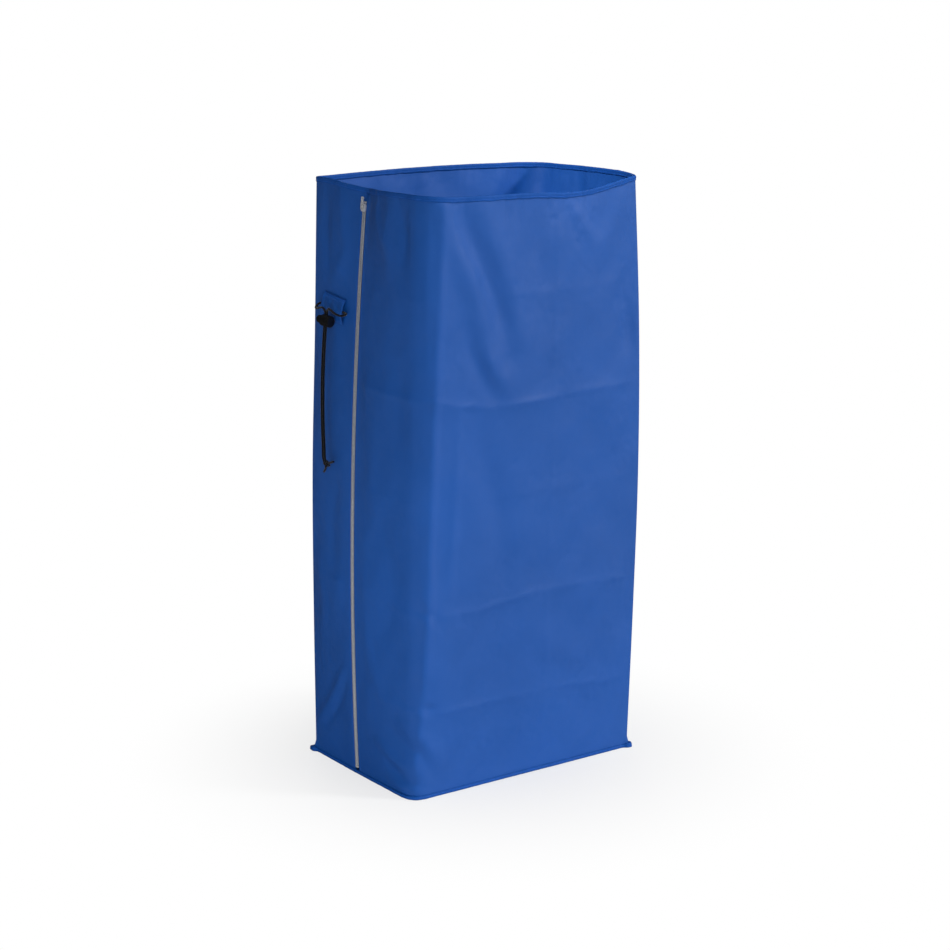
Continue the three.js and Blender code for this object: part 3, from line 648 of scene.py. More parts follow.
def plain_copy(source, name):
    """The evaluated mesh of an object as a new plain object; the source is removed."""
    depsgraph = bpy.context.evaluated_depsgraph_get()
    mesh = bpy.data.meshes.new_from_object(source.evaluated_get(depsgraph))
    mesh.name = name
    made = bpy.data.objects.new(name, mesh)
    bpy.context.scene.collection.objects.link(made)
    bpy.data.objects.remove(source)
    made.name = name
    return made


def combined(name, base, cutters, operation, look):
    """base with every cutter added to it or taken from it, as one closed mesh."""
    for cutter in cutters:
        modifier = base.modifiers.new("shape", "BOOLEAN")
        modifier.operation = operation
        modifier.solver = "EXACT"
        modifier.object = cutter
    made = plain_copy(base, name)
    for cutter in cutters:
        bpy.data.objects.remove(cutter)
    made.data.materials.clear()
    made.data.materials.append(MATERIALS[look])
    return made


def bevelled(piece, width, segments=3, angle=35):
    """The same piece with its edges rounded."""
    modifier = piece.modifiers.new("edges", "BEVEL")
    modifier.width = width
    modifier.segments = segments
    modifier.limit_method = "ANGLE"
    modifier.angle_limit = math.radians(angle)
    modifier.harden_normals = False
    return piece


def thickened(piece, thickness, offset=-1):
    """A sheet made into cloth of real thickness."""
    modifier = piece.modifiers.new("thickness", "SOLIDIFY")
    modifier.thickness = thickness
    modifier.offset = offset
    return piece


def unit(vectors):
    """Vectors of length one."""
    return vectors / np.linalg.norm(vectors, axis=-1, keepdims=True)


def even_line(points, spacing):
    """The same line with its points evenly spaced."""
    points = np.asarray(points, float)
    s = np.concatenate([[0], np.cumsum(np.linalg.norm(np.diff(points, axis=0), axis=1))])
    at = np.linspace(0, s[-1], max(2, int(round(s[-1] / spacing)) + 1))
    return np.stack([np.interp(at, s, points[:, axis]) for axis in range(points.shape[1])], 1)


def curve_through(points, spacing):
    """A centripetal curve through the points."""
    points = np.asarray(points, float)
    padded = np.vstack([2 * points[0] - points[1], points, 2 * points[-1] - points[-2]])
    line = []
    for p0, p1, p2, p3 in zip(padded, padded[1:], padded[2:], padded[3:]):
        t0 = 0.0
        t1 = t0 + np.linalg.norm(p1 - p0) ** 0.5
        t2 = t1 + np.linalg.norm(p2 - p1) ** 0.5
        t3 = t2 + np.linalg.norm(p3 - p2) ** 0.5
        t = np.linspace(t1, t2, 24, endpoint=False)[:, None]
        a1 = (t1 - t) / (t1 - t0) * p0 + (t - t0) / (t1 - t0) * p1
        a2 = (t2 - t) / (t2 - t1) * p1 + (t - t1) / (t2 - t1) * p2
        a3 = (t3 - t) / (t3 - t2) * p2 + (t - t2) / (t3 - t2) * p3
        b1 = (t2 - t) / (t2 - t0) * a1 + (t - t0) / (t2 - t0) * a2
        b2 = (t3 - t) / (t3 - t1) * a2 + (t - t1) / (t3 - t1) * a3
        line.append((t2 - t) / (t2 - t1) * b1 + (t - t1) / (t2 - t1) * b2)
    line.append(points[-1:])
    return even_line(np.concatenate(line), spacing)


def tube(name, path, radius, around, look, relief=None, closed=False):
    """A round tube along a path. relief(length, turn) is added to the radius."""
    path = np.asarray(path, float)
    if closed:
        tangents = unit(np.roll(path, -1, 0) - np.roll(path, 1, 0))
    else:
        tangents = unit(np.gradient(path, axis=0))
    side = np.cross(tangents[0], (0.3, 0.9, 0.2))
    sides = []
    for tangent in tangents:
        side = unit(side - tangent * side.dot(tangent))
        sides.append(side)
    sides = np.array(sides)
    others = np.cross(tangents, sides)
    length = np.concatenate([[0], np.cumsum(np.linalg.norm(np.diff(path, axis=0), axis=1))])
    turn = np.arange(around) / around
    radii = np.broadcast_to(np.asarray(radius, float).reshape(-1, 1), (len(path), around)).copy()
    if relief is not None:
        radii += relief(length[:, None], turn[None, :])
    angle = 2 * math.pi * turn
    points = (path[:, None] + radii[..., None] * (
        np.cos(angle)[None, :, None] * sides[:, None]
        + np.sin(angle)[None, :, None] * others[:, None]))
    rows = len(path) + closed
    uv = np.zeros((rows, around + 1, 2))
    uv[..., 0] = np.arange(around + 1) / around
    uv[:len(path), :, 1] = length[:, None]
    if closed:
        uv[-1, :, 1] = length[-1] + np.linalg.norm(path[0] - path[-1])
    return grid_mesh(name, points, uv, look, wrap_rows=closed, wrap_columns=True, caps=not closed)


def prism(name, outline_points, low, high, place, look):
    """An outline (across, along) pulled from low to high; place turns it into the row frame."""
    work = bmesh.new()
    ring = [work.verts.new((x, y, low)) for x, y in outline_points]
    face = work.faces.new(ring)
    pulled = bmesh.ops.extrude_face_region(work, geom=[face])
    moved = [v for v in pulled["geom"] if isinstance(v, bmesh.types.BMVert)]
    bmesh.ops.translate(work, vec=(0, 0, high - low), verts=moved)
    bmesh.ops.recalc_face_normals(work, faces=work.faces)
    bmesh.ops.transform(work, matrix=place, verts=work.verts)
    mesh = bpy.data.meshes.new(name)
    work.to_mesh(mesh)
    work.free()
    return linked(name, mesh, look, smooth=False)


def turned(name, profile, around, place, look):
    """A closed turned shape about the first axis, from (along, radius) points, ends on the axis."""
    profile = np.asarray(profile, float)
    angle = 2 * math.pi * np.arange(around) / around
    rings = np.stack([
        np.repeat(profile[1:-1, :1], around, 1),
        profile[1:-1, 1:] * np.cos(angle)[None], profile[1:-1, 1:] * np.sin(angle)[None]], -1)
    count = len(rings)
    places = np.vstack([rings.reshape(-1, 3), [profile[0, 0], 0, 0], [profile[-1, 0], 0, 0]])
    faces = []
    for i in range(count - 1):
        for k in range(around):
            m = (k + 1) % around
            faces.append([i * around + k, (i + 1) * around + k,
                          (i + 1) * around + m, i * around + m])
    for k in range(around):
        m = (k + 1) % around
        faces.append([count * around, k, m])
        faces.append([count * around + 1, (count - 1) * around + m, (count - 1) * around + k])
    mesh = bpy.data.meshes.new(name)
    mesh.from_pydata(places.tolist(), [], faces)
    mesh.transform(place)
    work = bmesh.new()
    work.from_mesh(mesh)
    bmesh.ops.recalc_face_normals(work, faces=work.faces)
    work.to_mesh(mesh)
    work.free()
    return linked(name, mesh, look)


def rounded_profile(corners, reach, steps=4):
    """(along, radius) points with every inner corner rounded over that reach."""
    corners = np.asarray(corners, float)
    line = [corners[0]]
    for before, middle, after in zip(corners, corners[1:], corners[2:]):
        into, away = before - middle, after - middle
        cut = min(reach, 0.45 * np.hypot(*into), 0.45 * np.hypot(*away))
        start, end = middle + unit(into) * cut, middle + unit(away) * cut
        for s in np.linspace(0, 1, steps + 1):
            line.append((1 - s) ** 2 * start + 2 * s * (1 - s) * middle + s ** 2 * end)
    line.append(corners[-1])
    return np.array(line)


def node_points(node):
    """The points of a CAD node, as an array in metres."""
    data = frame["nodes"][node].data
    flat = np.empty(len(data.vertices) * 3, np.float32)
    data.vertices.foreach_get("co", flat)
    return flat.reshape(-1, 3).astype(float)


# ---- Geometry Nodes: one piece repeated along a path -------------------------------------------


def repeat_tree():
    """Places a piece along every line of a mesh: stitches along a seam, turns along a coil."""
    tree = bpy.data.node_groups.new("Repeat along a path", "GeometryNodeTree")
    wanted = {"Path": "Geometry", "Piece": "Object", "Pitch": "Float", "Size": "Vector",
              "Across": "Vector", "Unevenness": "Float", "Seed": "Int", "Finish": "Material"}
    for label, kind in wanted.items():
        tree.interface.new_socket(label, in_out="INPUT", socket_type=f"NodeSocket{kind}")
    tree.interface.new_socket("Result", in_out="OUTPUT", socket_type="NodeSocketGeometry")
    net = Net(tree)
    given = net.add("NodeGroupInput").outputs
    line = net.add("GeometryNodeMeshToCurve", {"Mesh": given["Path"]}).outputs["Curve"]
    marks = net.add("GeometryNodeResampleCurve", {"Curve": line, "Length": given["Pitch"]},
                    mode="LENGTH").outputs["Curve"]
    tangent = net.add("GeometryNodeInputTangent").outputs["Tangent"]
    along = net.add("FunctionNodeAlignRotationToVector", {"Vector": tangent}, axis="Y")
    turned_to = net.add("FunctionNodeAlignRotationToVector", {
        "Rotation": along.outputs["Rotation"], "Vector": given["Across"]},
        axis="X", pivot_axis="Y")
    chance = net.add("FunctionNodeRandomValue", {"Seed": given["Seed"]}, data_type="FLOAT_VECTOR")
    chance.inputs[0].default_value = (-1, -1, -1)
    chance.inputs[1].default_value = (1, 1, 1)
    swing = net.add("ShaderNodeVectorMath", {0: chance.outputs[0]}, operation="SCALE")
    net.feed(swing.inputs["Scale"], given["Unevenness"])
    factor = net.add("ShaderNodeVectorMath", {0: swing.outputs[0]}, operation="ADD")
    factor.inputs[1].default_value = (1, 1, 1)
    size = net.add("ShaderNodeVectorMath", {0: given["Size"], 1: factor.outputs[0]},
                   operation="MULTIPLY")
    piece = net.add("GeometryNodeObjectInfo", {"Object": given["Piece"]}).outputs["Geometry"]
    placed = net.add("GeometryNodeInstanceOnPoints", {
        "Points": marks, "Instance": piece, "Rotation": turned_to.outputs["Rotation"],
        "Scale": size.outputs[0]}).outputs["Instances"]
    real = net.add("GeometryNodeRealizeInstances", {"Geometry": placed}).outputs["Geometry"]
    even = net.add("GeometryNodeSetShadeSmooth", {"Geometry": real}).outputs["Geometry"]
    done = net.add("GeometryNodeSetMaterial", {"Geometry": even, "Material": given["Finish"]})
    result = net.add("NodeGroupOutput")
    net.feed(result.inputs["Result"], done.outputs["Geometry"])
    return tree


def repeated(name, lines, piece, pitch, size, look, across=(0, 0, 1), unevenness=0.0, seed=1):
    """piece repeated along lines (metres), as one plain mesh."""
    mesh = bpy.data.meshes.new(name)
    places, edges = [], []
    for line in lines:
        edges += [(len(places) + i, len(places) + i + 1) for i in range(len(line) - 1)]
        places += [tuple(p) for p in line]
    mesh.from_pydata(places, edges, [])
    path = bpy.data.objects.new(name, mesh)
    bpy.context.scene.collection.objects.link(path)
    tree = bpy.data.node_groups.get("Repeat along a path") or repeat_tree()
    modifier = path.modifiers.new("repeat", "NODES")
    modifier.node_group = tree
    values = {"Piece": piece, "Pitch": pitch, "Size": size, "Across": across,
              "Unevenness": unevenness, "Seed": seed, "Finish": MATERIALS[look]}
    for item in tree.interface.items_tree:
        if item.name in values:
            modifier[item.identifier] = values[item.name]
    return plain_copy(path, name)


def bead(name, rings, around):
    """A closed bead of unit length along Y and unit radius, for a stitch."""
    angle = math.pi * np.arange(1, rings) / rings
    turn = 2 * math.pi * np.arange(around) / around
    points = np.stack([
        np.sin(angle)[:, None] ** 0.5 * np.cos(turn)[None],
        np.repeat(-0.5 * np.cos(angle)[:, None], around, 1),
        np.sin(angle)[:, None] ** 0.5 * np.sin(turn)[None]], -1)
    points = np.concatenate([points])
    uv = np.zeros((len(points), around + 1, 2))
    made = grid_mesh(name, points, uv, "thread", wrap_columns=True, caps=True)
    work = bmesh.new()
    work.from_mesh(made.data)
    bmesh.ops.recalc_face_normals(work, faces=work.faces)
    work.to_mesh(made.data)
    work.free()
    return made


def stitched(name, lines, pitch, radius=0.3, seed=1):
    """Rows of lockstitches along lines in millimetres."""
    piece = bead("stitch", 5, 6)
    made = repeated(name, [np.asarray(line) * MM for line in lines], piece, pitch,
                    (radius * MM, pitch * 0.86, radius * MM), "thread", unevenness=0.08, seed=seed)
    bpy.data.objects.remove(piece)
    return made


def finish_piece(piece, body, slot_name, *nodes):
    """Puts a finished piece on its body and hides its CAD nodes; slot_name is not used."""
    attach(piece, body)
    if nodes:
        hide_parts(*nodes)
    return piece


# ---- Folds, creases and crinkles in the wall ---------------------------------------------------
ZIP_STITCHES = 8.4   # from the zip's middle to the row of sewing beside it

# Places are (millimetres along from the front fold, height) on the front panel, from the back
# fold on the back panel and from the rear seam on the rear strip. Each fold has its half width
# and how far it stands out, or in where that is negative.
SOFT_FOLDS = {
    "front": [
        ([(54, 925), (60, 905), (78, 868), (104, 822), (124, 780), (142, 735), (152, 690)],
         19, -4.2),
        ([(30, 925), (40, 880), (62, 835), (84, 786), (102, 735), (116, 690)], 20, 3.4),
        ([(96, 925), (116, 880), (140, 835), (162, 780), (176, 720)], 22, 2.6),
        ([(70, 735), (84, 700), (104, 660), (128, 628)], 16, -2.8),
        ([(104, 700), (120, 670), (148, 640)], 14, 2.2),
        ([(94, 600), (110, 540), (134, 460), (150, 370), (152, 305)], 26, -3.0),
        ([(60, 606), (60, 525), (56, 421), (50, 325)], 9, 1.8),
        ([(26, 600), (28, 500), (24, 400), (20, 320)], 16, -1.6),
        ([(24, 918), (23, 853), (21, 759), (18, 637), (17, 451), (15, 325), (8, 197), (3, 99),
          (0, 60)], 8, 2.6),
        ([(276, 918), (300, 884), (326, 852)], 12, 1.8),
        ([(210, 915), (206, 850), (214, 800)], 18, -1.4),
        ([(-86, 72), (-48, 60), (-8, 50)], 9, 2.6),
        ([(-60, 44), (-34, 34), (-4, 24)], 8, -2.4),
        ([(-50, 14), (-14, 16), (18, 8)], 7, 2.2),
        ([(-58, 100), (2, 80), (30, 38)], 11, -2.2),
        ([(-30, 120), (10, 100), (46, 60)], 12, 1.6),
        ([(6, 310), (26, 288)], 9, -2.6),
        ([(4, 330), (14, 300), (8, 270)], 8, 1.8),
        ([(8, 152), (30, 141)], 9, -2.2),
        ([(-58, 918), (-46, 880), (-44, 840)], 12, -2.2),
        ([(-84, 920), (-92, 870), (-86, 820)], 14, 1.8),
        ([(-20, 925), (-14, 860), (-16, 790)], 18, 1.6),
        ([(-130, 905), (-110, 868), (-84, 848)], 13, 1.8),
        ([(-60, 700), (-50, 640), (-46, 560)], 24, -2.2),
        ([(-110, 600), (-118, 520), (-108, 430)], 22, 1.8),
        ([(-80, 420), (-60, 340), (-70, 250)], 24, -1.8),
        ([(-130, 250), (-110, 190), (-70, 140)], 16, 1.8),
        ([(330, 560), (350, 470), (340, 380)], 34, -1.6),
        ([(210, 250), (250, 200), (330, 180)], 26, 1.4),
        ([(380, 800), (396, 730), (404, 660)], 18, -1.8),
    ],
    "rear": [
        ([(122, 190), (89, 140), (54, 97), (14, 60)], 10, 3.0),
        ([(112, 150), (76, 100), (40, 60)], 11, -2.4),
        ([(96, 840), (70, 800), (52, 780)], 12, 1.8),
        ([(40, 920), (34, 860), (44, 800)], 13, -2.2),
        ([(74, 925), (80, 880), (86, 840)], 11, 1.6),
        ([(20, 690), (34, 620), (28, 540)], 14, 1.8),
        ([(84, 470), (70, 400), (80, 320)], 16, -1.8),
        ([(30, 340), (44, 260), (34, 200)], 15, 1.6),
    ],
    "back": [
        ([(-30, 925), (-24, 860), (-40, 780), (-34, 700)], 18, -3.4),
        ([(26, 925), (44, 860), (84, 790), (120, 700)], 20, 3.2),
        ([(70, 925), (96, 850), (130, 780)], 18, -3.0),
        ([(220, 925), (206, 850), (230, 760)], 22, -2.4),
        ([(330, 925), (306, 850), (276, 790)], 18, 2.4),
        ([(-150, 920), (-142, 850), (-160, 780)], 14, -2.2),
        ([(-96, 925), (-100, 860), (-84, 790)], 14, 2.2),
        ([(60, 600), (110, 520), (150, 400), (146, 310)], 26, -2.8),
        ([(30, 600), (34, 480), (26, 330)], 13, 1.8),
        ([(260, 560), (250, 460), (280, 360)], 30, 1.8),
        ([(-110, 590), (-120, 500), (-104, 400)], 22, -2.2),
        ([(-80, 290), (-110, 200), (-150, 120)], 16, 2.2),
        ([(10, 80), (50, 50), (90, 12)], 9, 2.4),
        ([(-10, 60), (-50, 40), (-90, 16)], 9, -2.2),
        ([(12, 305), (34, 288)], 9, -2.2),
        ([(300, 240), (330, 180), (400, 130)], 18, 1.8),
        ([(180, 120), (240, 90), (330, 80)], 20, -1.4),
    ],
}
# Creases left by folding the sack flat: a sharp line on a low, broad ridge.
CREASES = {
    "front": [
        ([(-170, 638), (-80, 635), (-31, 633), (16, 633), (57, 622), (120, 613), (185, 613),
          (252, 615), (321, 617), (428, 617)], 1.3),
        ([(-168, 312), (-70, 308), (17, 293), (47, 296), (103, 293), (167, 301), (221, 307),
          (297, 303), (428, 296)], 1.1),
        ([(-160, 152), (-60, 148), (10, 143), (47, 139), (89, 138), (136, 139), (203, 138),
          (272, 137), (424, 122)], 1.1),
        ([(246, 925), (248, 793), (244, 687), (244, 612)], 0.55),
        ([(244, 600), (243, 473), (237, 311), (241, 143), (242, 40)], 0.5),
        ([(-178, 478), (-60, 474), (60, 466), (200, 470), (428, 468)], 0.35),
        ([(-178, 786), (-60, 782), (60, 786), (220, 782), (424, 786)], 0.3),
    ],
    "rear": [
        ([(0, 640), (60, 642), (125, 638)], 1.1),
        ([(0, 316), (60, 312), (125, 312)], 1.0),
        ([(0, 156), (60, 158), (125, 152)], 0.9),
    ],
    "back": [
        ([(-310, 617), (-160, 622), (-10, 632), (90, 616), (210, 612), (440, 640)], 1.3),
        ([(-310, 296), (-150, 304), (0, 292), (120, 300), (260, 304), (440, 316)], 1.1),
        ([(-310, 124), (-140, 140), (10, 146), (160, 138), (440, 156)], 1.1),
        ([(236, 925), (232, 700), (238, 400), (234, 40)], 0.6),
        ([(-150, 925), (-154, 700), (-150, 400), (-146, 40)], 0.6),
        ([(-310, 468), (0, 472), (440, 478)], 0.4),
        ([(-310, 786), (0, 780), (440, 786)], 0.35),
    ],
}


def from_line(along, height, line):
    """Distance to a broken line, and how far along it the nearest point is, from 0 to 1."""
    line = np.asarray(line, float)
    spans = np.linalg.norm(np.diff(line, axis=0), axis=1)
    nearest = np.full(along.shape, 1e9)
    share = np.zeros(along.shape)
    done = 0.0
    for start, end, span in zip(line, line[1:], spans):
        step = (end - start) / span
        run = np.clip((along - start[0]) * step[0] + (height - start[1]) * step[1], 0, span)
        gap = np.hypot(along - start[0] - run * step[0], height - start[1] - run * step[1])
        closer = gap < nearest
        nearest = np.where(closer, gap, nearest)
        share = np.where(closer, (done + run) / spans.sum(), share)
        done += span
    return nearest, share


def waves(along, height, wavelength, seed, count=7):
    """A seeded sum of gentle waves in every direction, about one unit high."""
    chance = np.random.RandomState(seed)
    total = np.zeros(np.broadcast(along, height).shape)
    for _ in range(count):
        turn, stretch, phase = chance.uniform(0, 1, 3) * (math.pi, 1, 2 * math.pi)
        number = 2 * math.pi / (wavelength * (0.7 + 0.7 * stretch))
        total += np.sin(number * (along * math.cos(turn) + height * math.sin(turn)) + phase)
    return total / math.sqrt(count)


def zip_distance(panel, along):
    """How far a place is from the zip's own line, along the wall."""
    if panel == "back":
        return np.full(along.shape, 1e3)
    edge = along.max(axis=1, keepdims=True) if panel == "rear" else along.min(axis=1, keepdims=True)
    return np.abs(along - edge) + ZIP_OPENING / 2


def seam_distance(panel, along):
    """How far a place is from the panel's nearest sewn corner, along the wall."""
    start = along - along.min(axis=1, keepdims=True)
    end = along.max(axis=1, keepdims=True) - along
    sewn = [gap for gap, kind in zip((start, end), ENDS[panel]) if kind == "seam"]
    return np.minimum.reduce(sewn)


def relief(panel, along, height, cloth):
    """How far the cloth stands off the smooth wall, in millimetres."""
    total = np.zeros(along.shape)
    for line, width, depth in SOFT_FOLDS[panel]:
        gap, share = from_line(along, height, line)
        fade = 0.35 + 0.65 * np.sin(math.pi * np.clip(share, 0.02, 0.98)) ** 0.7
        total += cloth.fold_depth * depth * fade * np.exp(-(gap / width) ** 2)
    wander = 1 + 0.45 * waves(along, height, 120, 5)
    from_edge = np.minimum(along - along.min(axis=1, keepdims=True),
                           along.max(axis=1, keepdims=True) - along)
    wander *= 0.2 + 0.8 * smooth(6, 46, from_edge)
    for line, depth in CREASES[panel]:
        gap, _ = from_line(along, height + 0.8 * waves(along, 0 * height, 60, 9), line)
        ridge = 0.9 * np.exp(-gap / 5.0) + 1.1 * np.exp(-gap / 24)
        total += cloth.crease_depth * depth * wander * ridge
    seed = {"front": 21, "rear": 31, "back": 41}[panel]
    total += 1.1 * waves(along, height, 190, seed)
    total += 0.45 * waves(along, height, 70, seed + 1, 9)
    crinkle = waves(along, height, 34, seed + 2, 9)
    total += 0.16 * (1 - 2 * np.abs(crinkle)) * (0.5 + 0.5 * waves(along, height, 150, seed + 3))
    near_zip = zip_distance(panel, along)
    total *= 0.12 + 0.88 * smooth(ZIP_FLAT - 8, ZIP_FLAT + 26, near_zip)
    pull = np.exp(-((near_zip - ZIP_STITCHES) / 3.5) ** 2)
    total += 0.22 * pull * waves(0 * along, height, 13, seed + 4)
    total -= 0.35 * np.exp(-((near_zip - ZIP_STITCHES) / 1.1) ** 2)
    hem = smooth(WALL_TOP - 60, WALL_TOP - 4, height)
    pucker = waves(along, 0 * height, 15, seed + 5, 6) * (
        0.5 + 0.5 * waves(along, 0 * height, 110, 6))
    total += 0.55 * hem * pucker * smooth(10, 40, near_zip)
    total *= smooth(WALL_FOOT - 6, WALL_FOOT + 22, height)
    total *= smooth(0, 18, seam_distance(panel, along))
    if panel == "rear":
        behind = np.exp(-(((along - 74) / 46) ** 4 + ((height - 745) / 40) ** 4))
        strands = (np.exp(-(((along - 74) / 30) ** 4)) * smooth(480, 540, height)
                   * smooth(800, 760, height))
        total = np.where(total > 0, total * (1 - np.maximum(behind, 0.8 * strands)), total)
        total -= 0.5 * behind
    return total


def zip_notch(panel, near_zip, height):
    """How far the slit above the zip's head is pulled into the sack."""
    if panel == "back":
        return np.zeros(near_zip.shape)
    return 6.5 * np.exp(-(near_zip / 13) ** 2) * smooth(ZIP_HEAD - 2, HEIGHT - 6, height)


EAR_REACH = 5.5   # along the wall from a sewn corner of the base
EAR_OUT = 3.6     # how far the pinched corner draws the wall in


def inward_at(name, z):
    """From a sewn corner into the sack, halfway between its two sides."""
    neighbours = {"rear": ((zip_x(z), ZIP_LINE), corner("back", z)),
                  "side": (corner("front", z), corner("back", z))}[name]
    here = corner(name, z)
    total = sum(unit(np.asarray(place, float) - here) for place in neighbours)
    return unit(total)


def wall(panel, heights, places, cloth):
    """The finished wall: points in millimetres, outward normals and lengths along it."""
    rows = [wall_row(panel, z, places) for z in heights]
    points = np.array([row[0] for row in rows])
    along = np.array([row[1] for row in rows])
    height = np.repeat(np.asarray(heights, float)[:, None], len(places), 1)

    def outward(grid):
        return unit(np.cross(np.gradient(grid, axis=1), np.gradient(grid, axis=0)))

    points = points + outward(points) * relief(panel, along, height, cloth)[..., None]
    near_zip = zip_distance(panel, along)
    points[..., 0] += zip_notch(panel, near_zip, height)
    for name in ("rear", "side"):
        for row, z in enumerate(heights):
            if z > 30:
                break
            gap = np.hypot(*(points[row, :, :2] - corner(name, z)).T)
            reach = EAR_OUT * np.exp(-(gap / EAR_REACH) ** 2) * (1 - smooth(5, 20, z))
            points[row, :, :2] -= inward_at(name, z) * reach[:, None]
    return points, outward(points), along


ENDS = {"rear": ("seam", "zip"), "front": ("zip", "seam"), "back": ("seam", "seam")}
SEAM_OF = {("rear", 0): "rear", ("front", 1): "side", ("back", 0): "side", ("back", 1): "rear"}
FINE_STEPS = np.array([0, 0.9, 1.8, 2.6, 3.5, 4.8, 6.6, 9.0, 12.2])


def column_places(panel, spacing):
    """Places along a panel, closer together beside the zip and the seams."""
    length = panel_line(panel, HEIGHT / 2)[2][-1]
    inner = np.arange(FINE_STEPS[-1], length - FINE_STEPS[-1], spacing)[1:]
    return np.concatenate([FINE_STEPS, inner, length - FINE_STEPS[::-1]]) / length


def turned_in(points, heights, panel, end):
    """Extra columns at a panel's end: round a sewn corner, or over the cloth edge at the zip."""
    at, beside_it = (0, 1) if end == 0 else (-1, -2)
    edge = points[:, at]
    back_along = unit(points[:, beside_it] - edge)
    if ENDS[panel][end] == "zip":
        extra = [edge - back_along * step + np.array([drop, 0, 0])
                 for step, drop in ((0.25, 0.12), (0.35, 0.45))]
    else:
        inward = np.array([[*inward_at(SEAM_OF[panel, end], z), 0] for z in heights])
        extra = [edge + back_along * 0.3 + inward * depth for depth in (0.5, 1.4, 3.0)]
    extra = np.stack(extra, 1)
    if ENDS[panel][end] == "seam":
        points[:, at] = edge + back_along * 0.45
    return np.concatenate([extra[:, ::-1], points] if end == 0 else [points, extra], 1)


def cloth_wall(name, panel, cloth, nodes):
    """One panel of the wall, with its turned ends."""
    count = int(round((WALL_TOP - WALL_FOOT) / cloth.spacing))
    heights = np.linspace(WALL_FOOT, WALL_TOP, count + 1)
    points, _, _ = wall(panel, heights, column_places(panel, cloth.spacing), cloth)
    for end in (0, 1):
        points = turned_in(points, heights, panel, end)
    steps = np.linalg.norm(np.diff(points[count // 2], axis=0), axis=1)
    along = np.concatenate([[0], np.cumsum(steps)])
    uv = np.stack(np.broadcast_arrays(along[None, :], heights[:, None]), -1) * MM
    made = thickened(grid_mesh(name, points * MM, uv, "coated_cloth"), cloth.thickness)
    finish_piece(made, "sack", "coated_cloth", *nodes)
    return made


class SACK_OT_walls(bpy.types.Operator):
    """Build the three cloth walls with their folds and creases"""

    bl_idname = "sack.walls"
    bl_label = "Cloth walls"

    def execute(self, context):
        cloth = settings(context)[0]
        cloth_wall("front_cloth", "front", cloth, ["front_panel"])
        cloth_wall("back_cloth", "back", cloth, ["back_panel"])
        cloth_wall("zip_side_cloth", "rear", cloth, ["rear_zip_panel"])
        return {"FINISHED"}


# ---- Runs right round the sack -----------------------------------------------------------------


def ring_round(z, spacing, cloth, softness=1.6):
    """A closed line round the finished wall at height z, even in spacing, in millimetres."""
    pieces = []
    for panel in ("rear", "front", "back"):
        length = panel_line(panel, z)[2][-1]
        places = np.linspace(0, 1, max(4, int(length / 2.0)))
        step = 3.0
        points, _, _ = wall(panel, [z - 2 * step, z - step, z, z + step], places, cloth)
        pieces.append(points[2])
    line = np.concatenate(pieces)
    line = line[np.concatenate([[True], np.linalg.norm(np.diff(line, axis=0), axis=1) > 0.2])]
    closed = even_line(np.vstack([line, line[:1]]), spacing)[:-1]
    reach = max(1, int(round(2 * softness / spacing)))
    kernel = np.exp(-0.5 * (np.arange(-reach, reach + 1) * spacing / softness) ** 2)
    kernel /= kernel.sum()
    return sum(weight * np.roll(closed, shift, 0)
               for weight, shift in zip(kernel, range(-reach, reach + 1)))


def ring_outward(line):
    """Level outward directions along a closed line, longer at a corner to keep a strip's width."""
    ahead = unit(np.roll(line, -1, 0) - line)
    behind = unit(line - np.roll(line, 1, 0))
    total = ahead + behind
    out = unit(np.stack([total[:, 1], -total[:, 0], np.zeros(len(line))], 1))
    square = np.maximum(0.75, out[:, 0] * ahead[:, 1] - out[:, 1] * ahead[:, 0])
    return out / square[:, None]


def ring_lengths(line):
    steps = np.linalg.norm(np.roll(line, -1, 0) - line, axis=1)
    return np.concatenate([[0], np.cumsum(steps)])


def strip_round(name, line, section, look, out=None):
    """A closed strip along a closed line. section(lengths) gives (count, n, 2): out and up."""
    out = ring_outward(line) if out is None else out
    s = ring_lengths(line)
    shape = section(s[:-1])
    up = np.array([0, 0, 1.0])
    points = line[:, None] + shape[..., :1] * out[:, None] + shape[..., 1:] * up
    around = np.concatenate([[0], np.cumsum(np.linalg.norm(
        np.roll(shape[0], -1, 0) - shape[0], axis=1))])
    uv = np.stack(np.broadcast_arrays(s[:, None], around[None, :]), -1) * MM
    made = grid_mesh(name, points * MM, uv, look, wrap_rows=True, wrap_columns=True)
    work = bmesh.new()
    work.from_mesh(made.data)
    bmesh.ops.recalc_face_normals(work, faces=work.faces)
    work.to_mesh(made.data)
    work.free()
    return made


BINDING_JOIN = 0.565   # share of the way round where the binding's two ends overlap


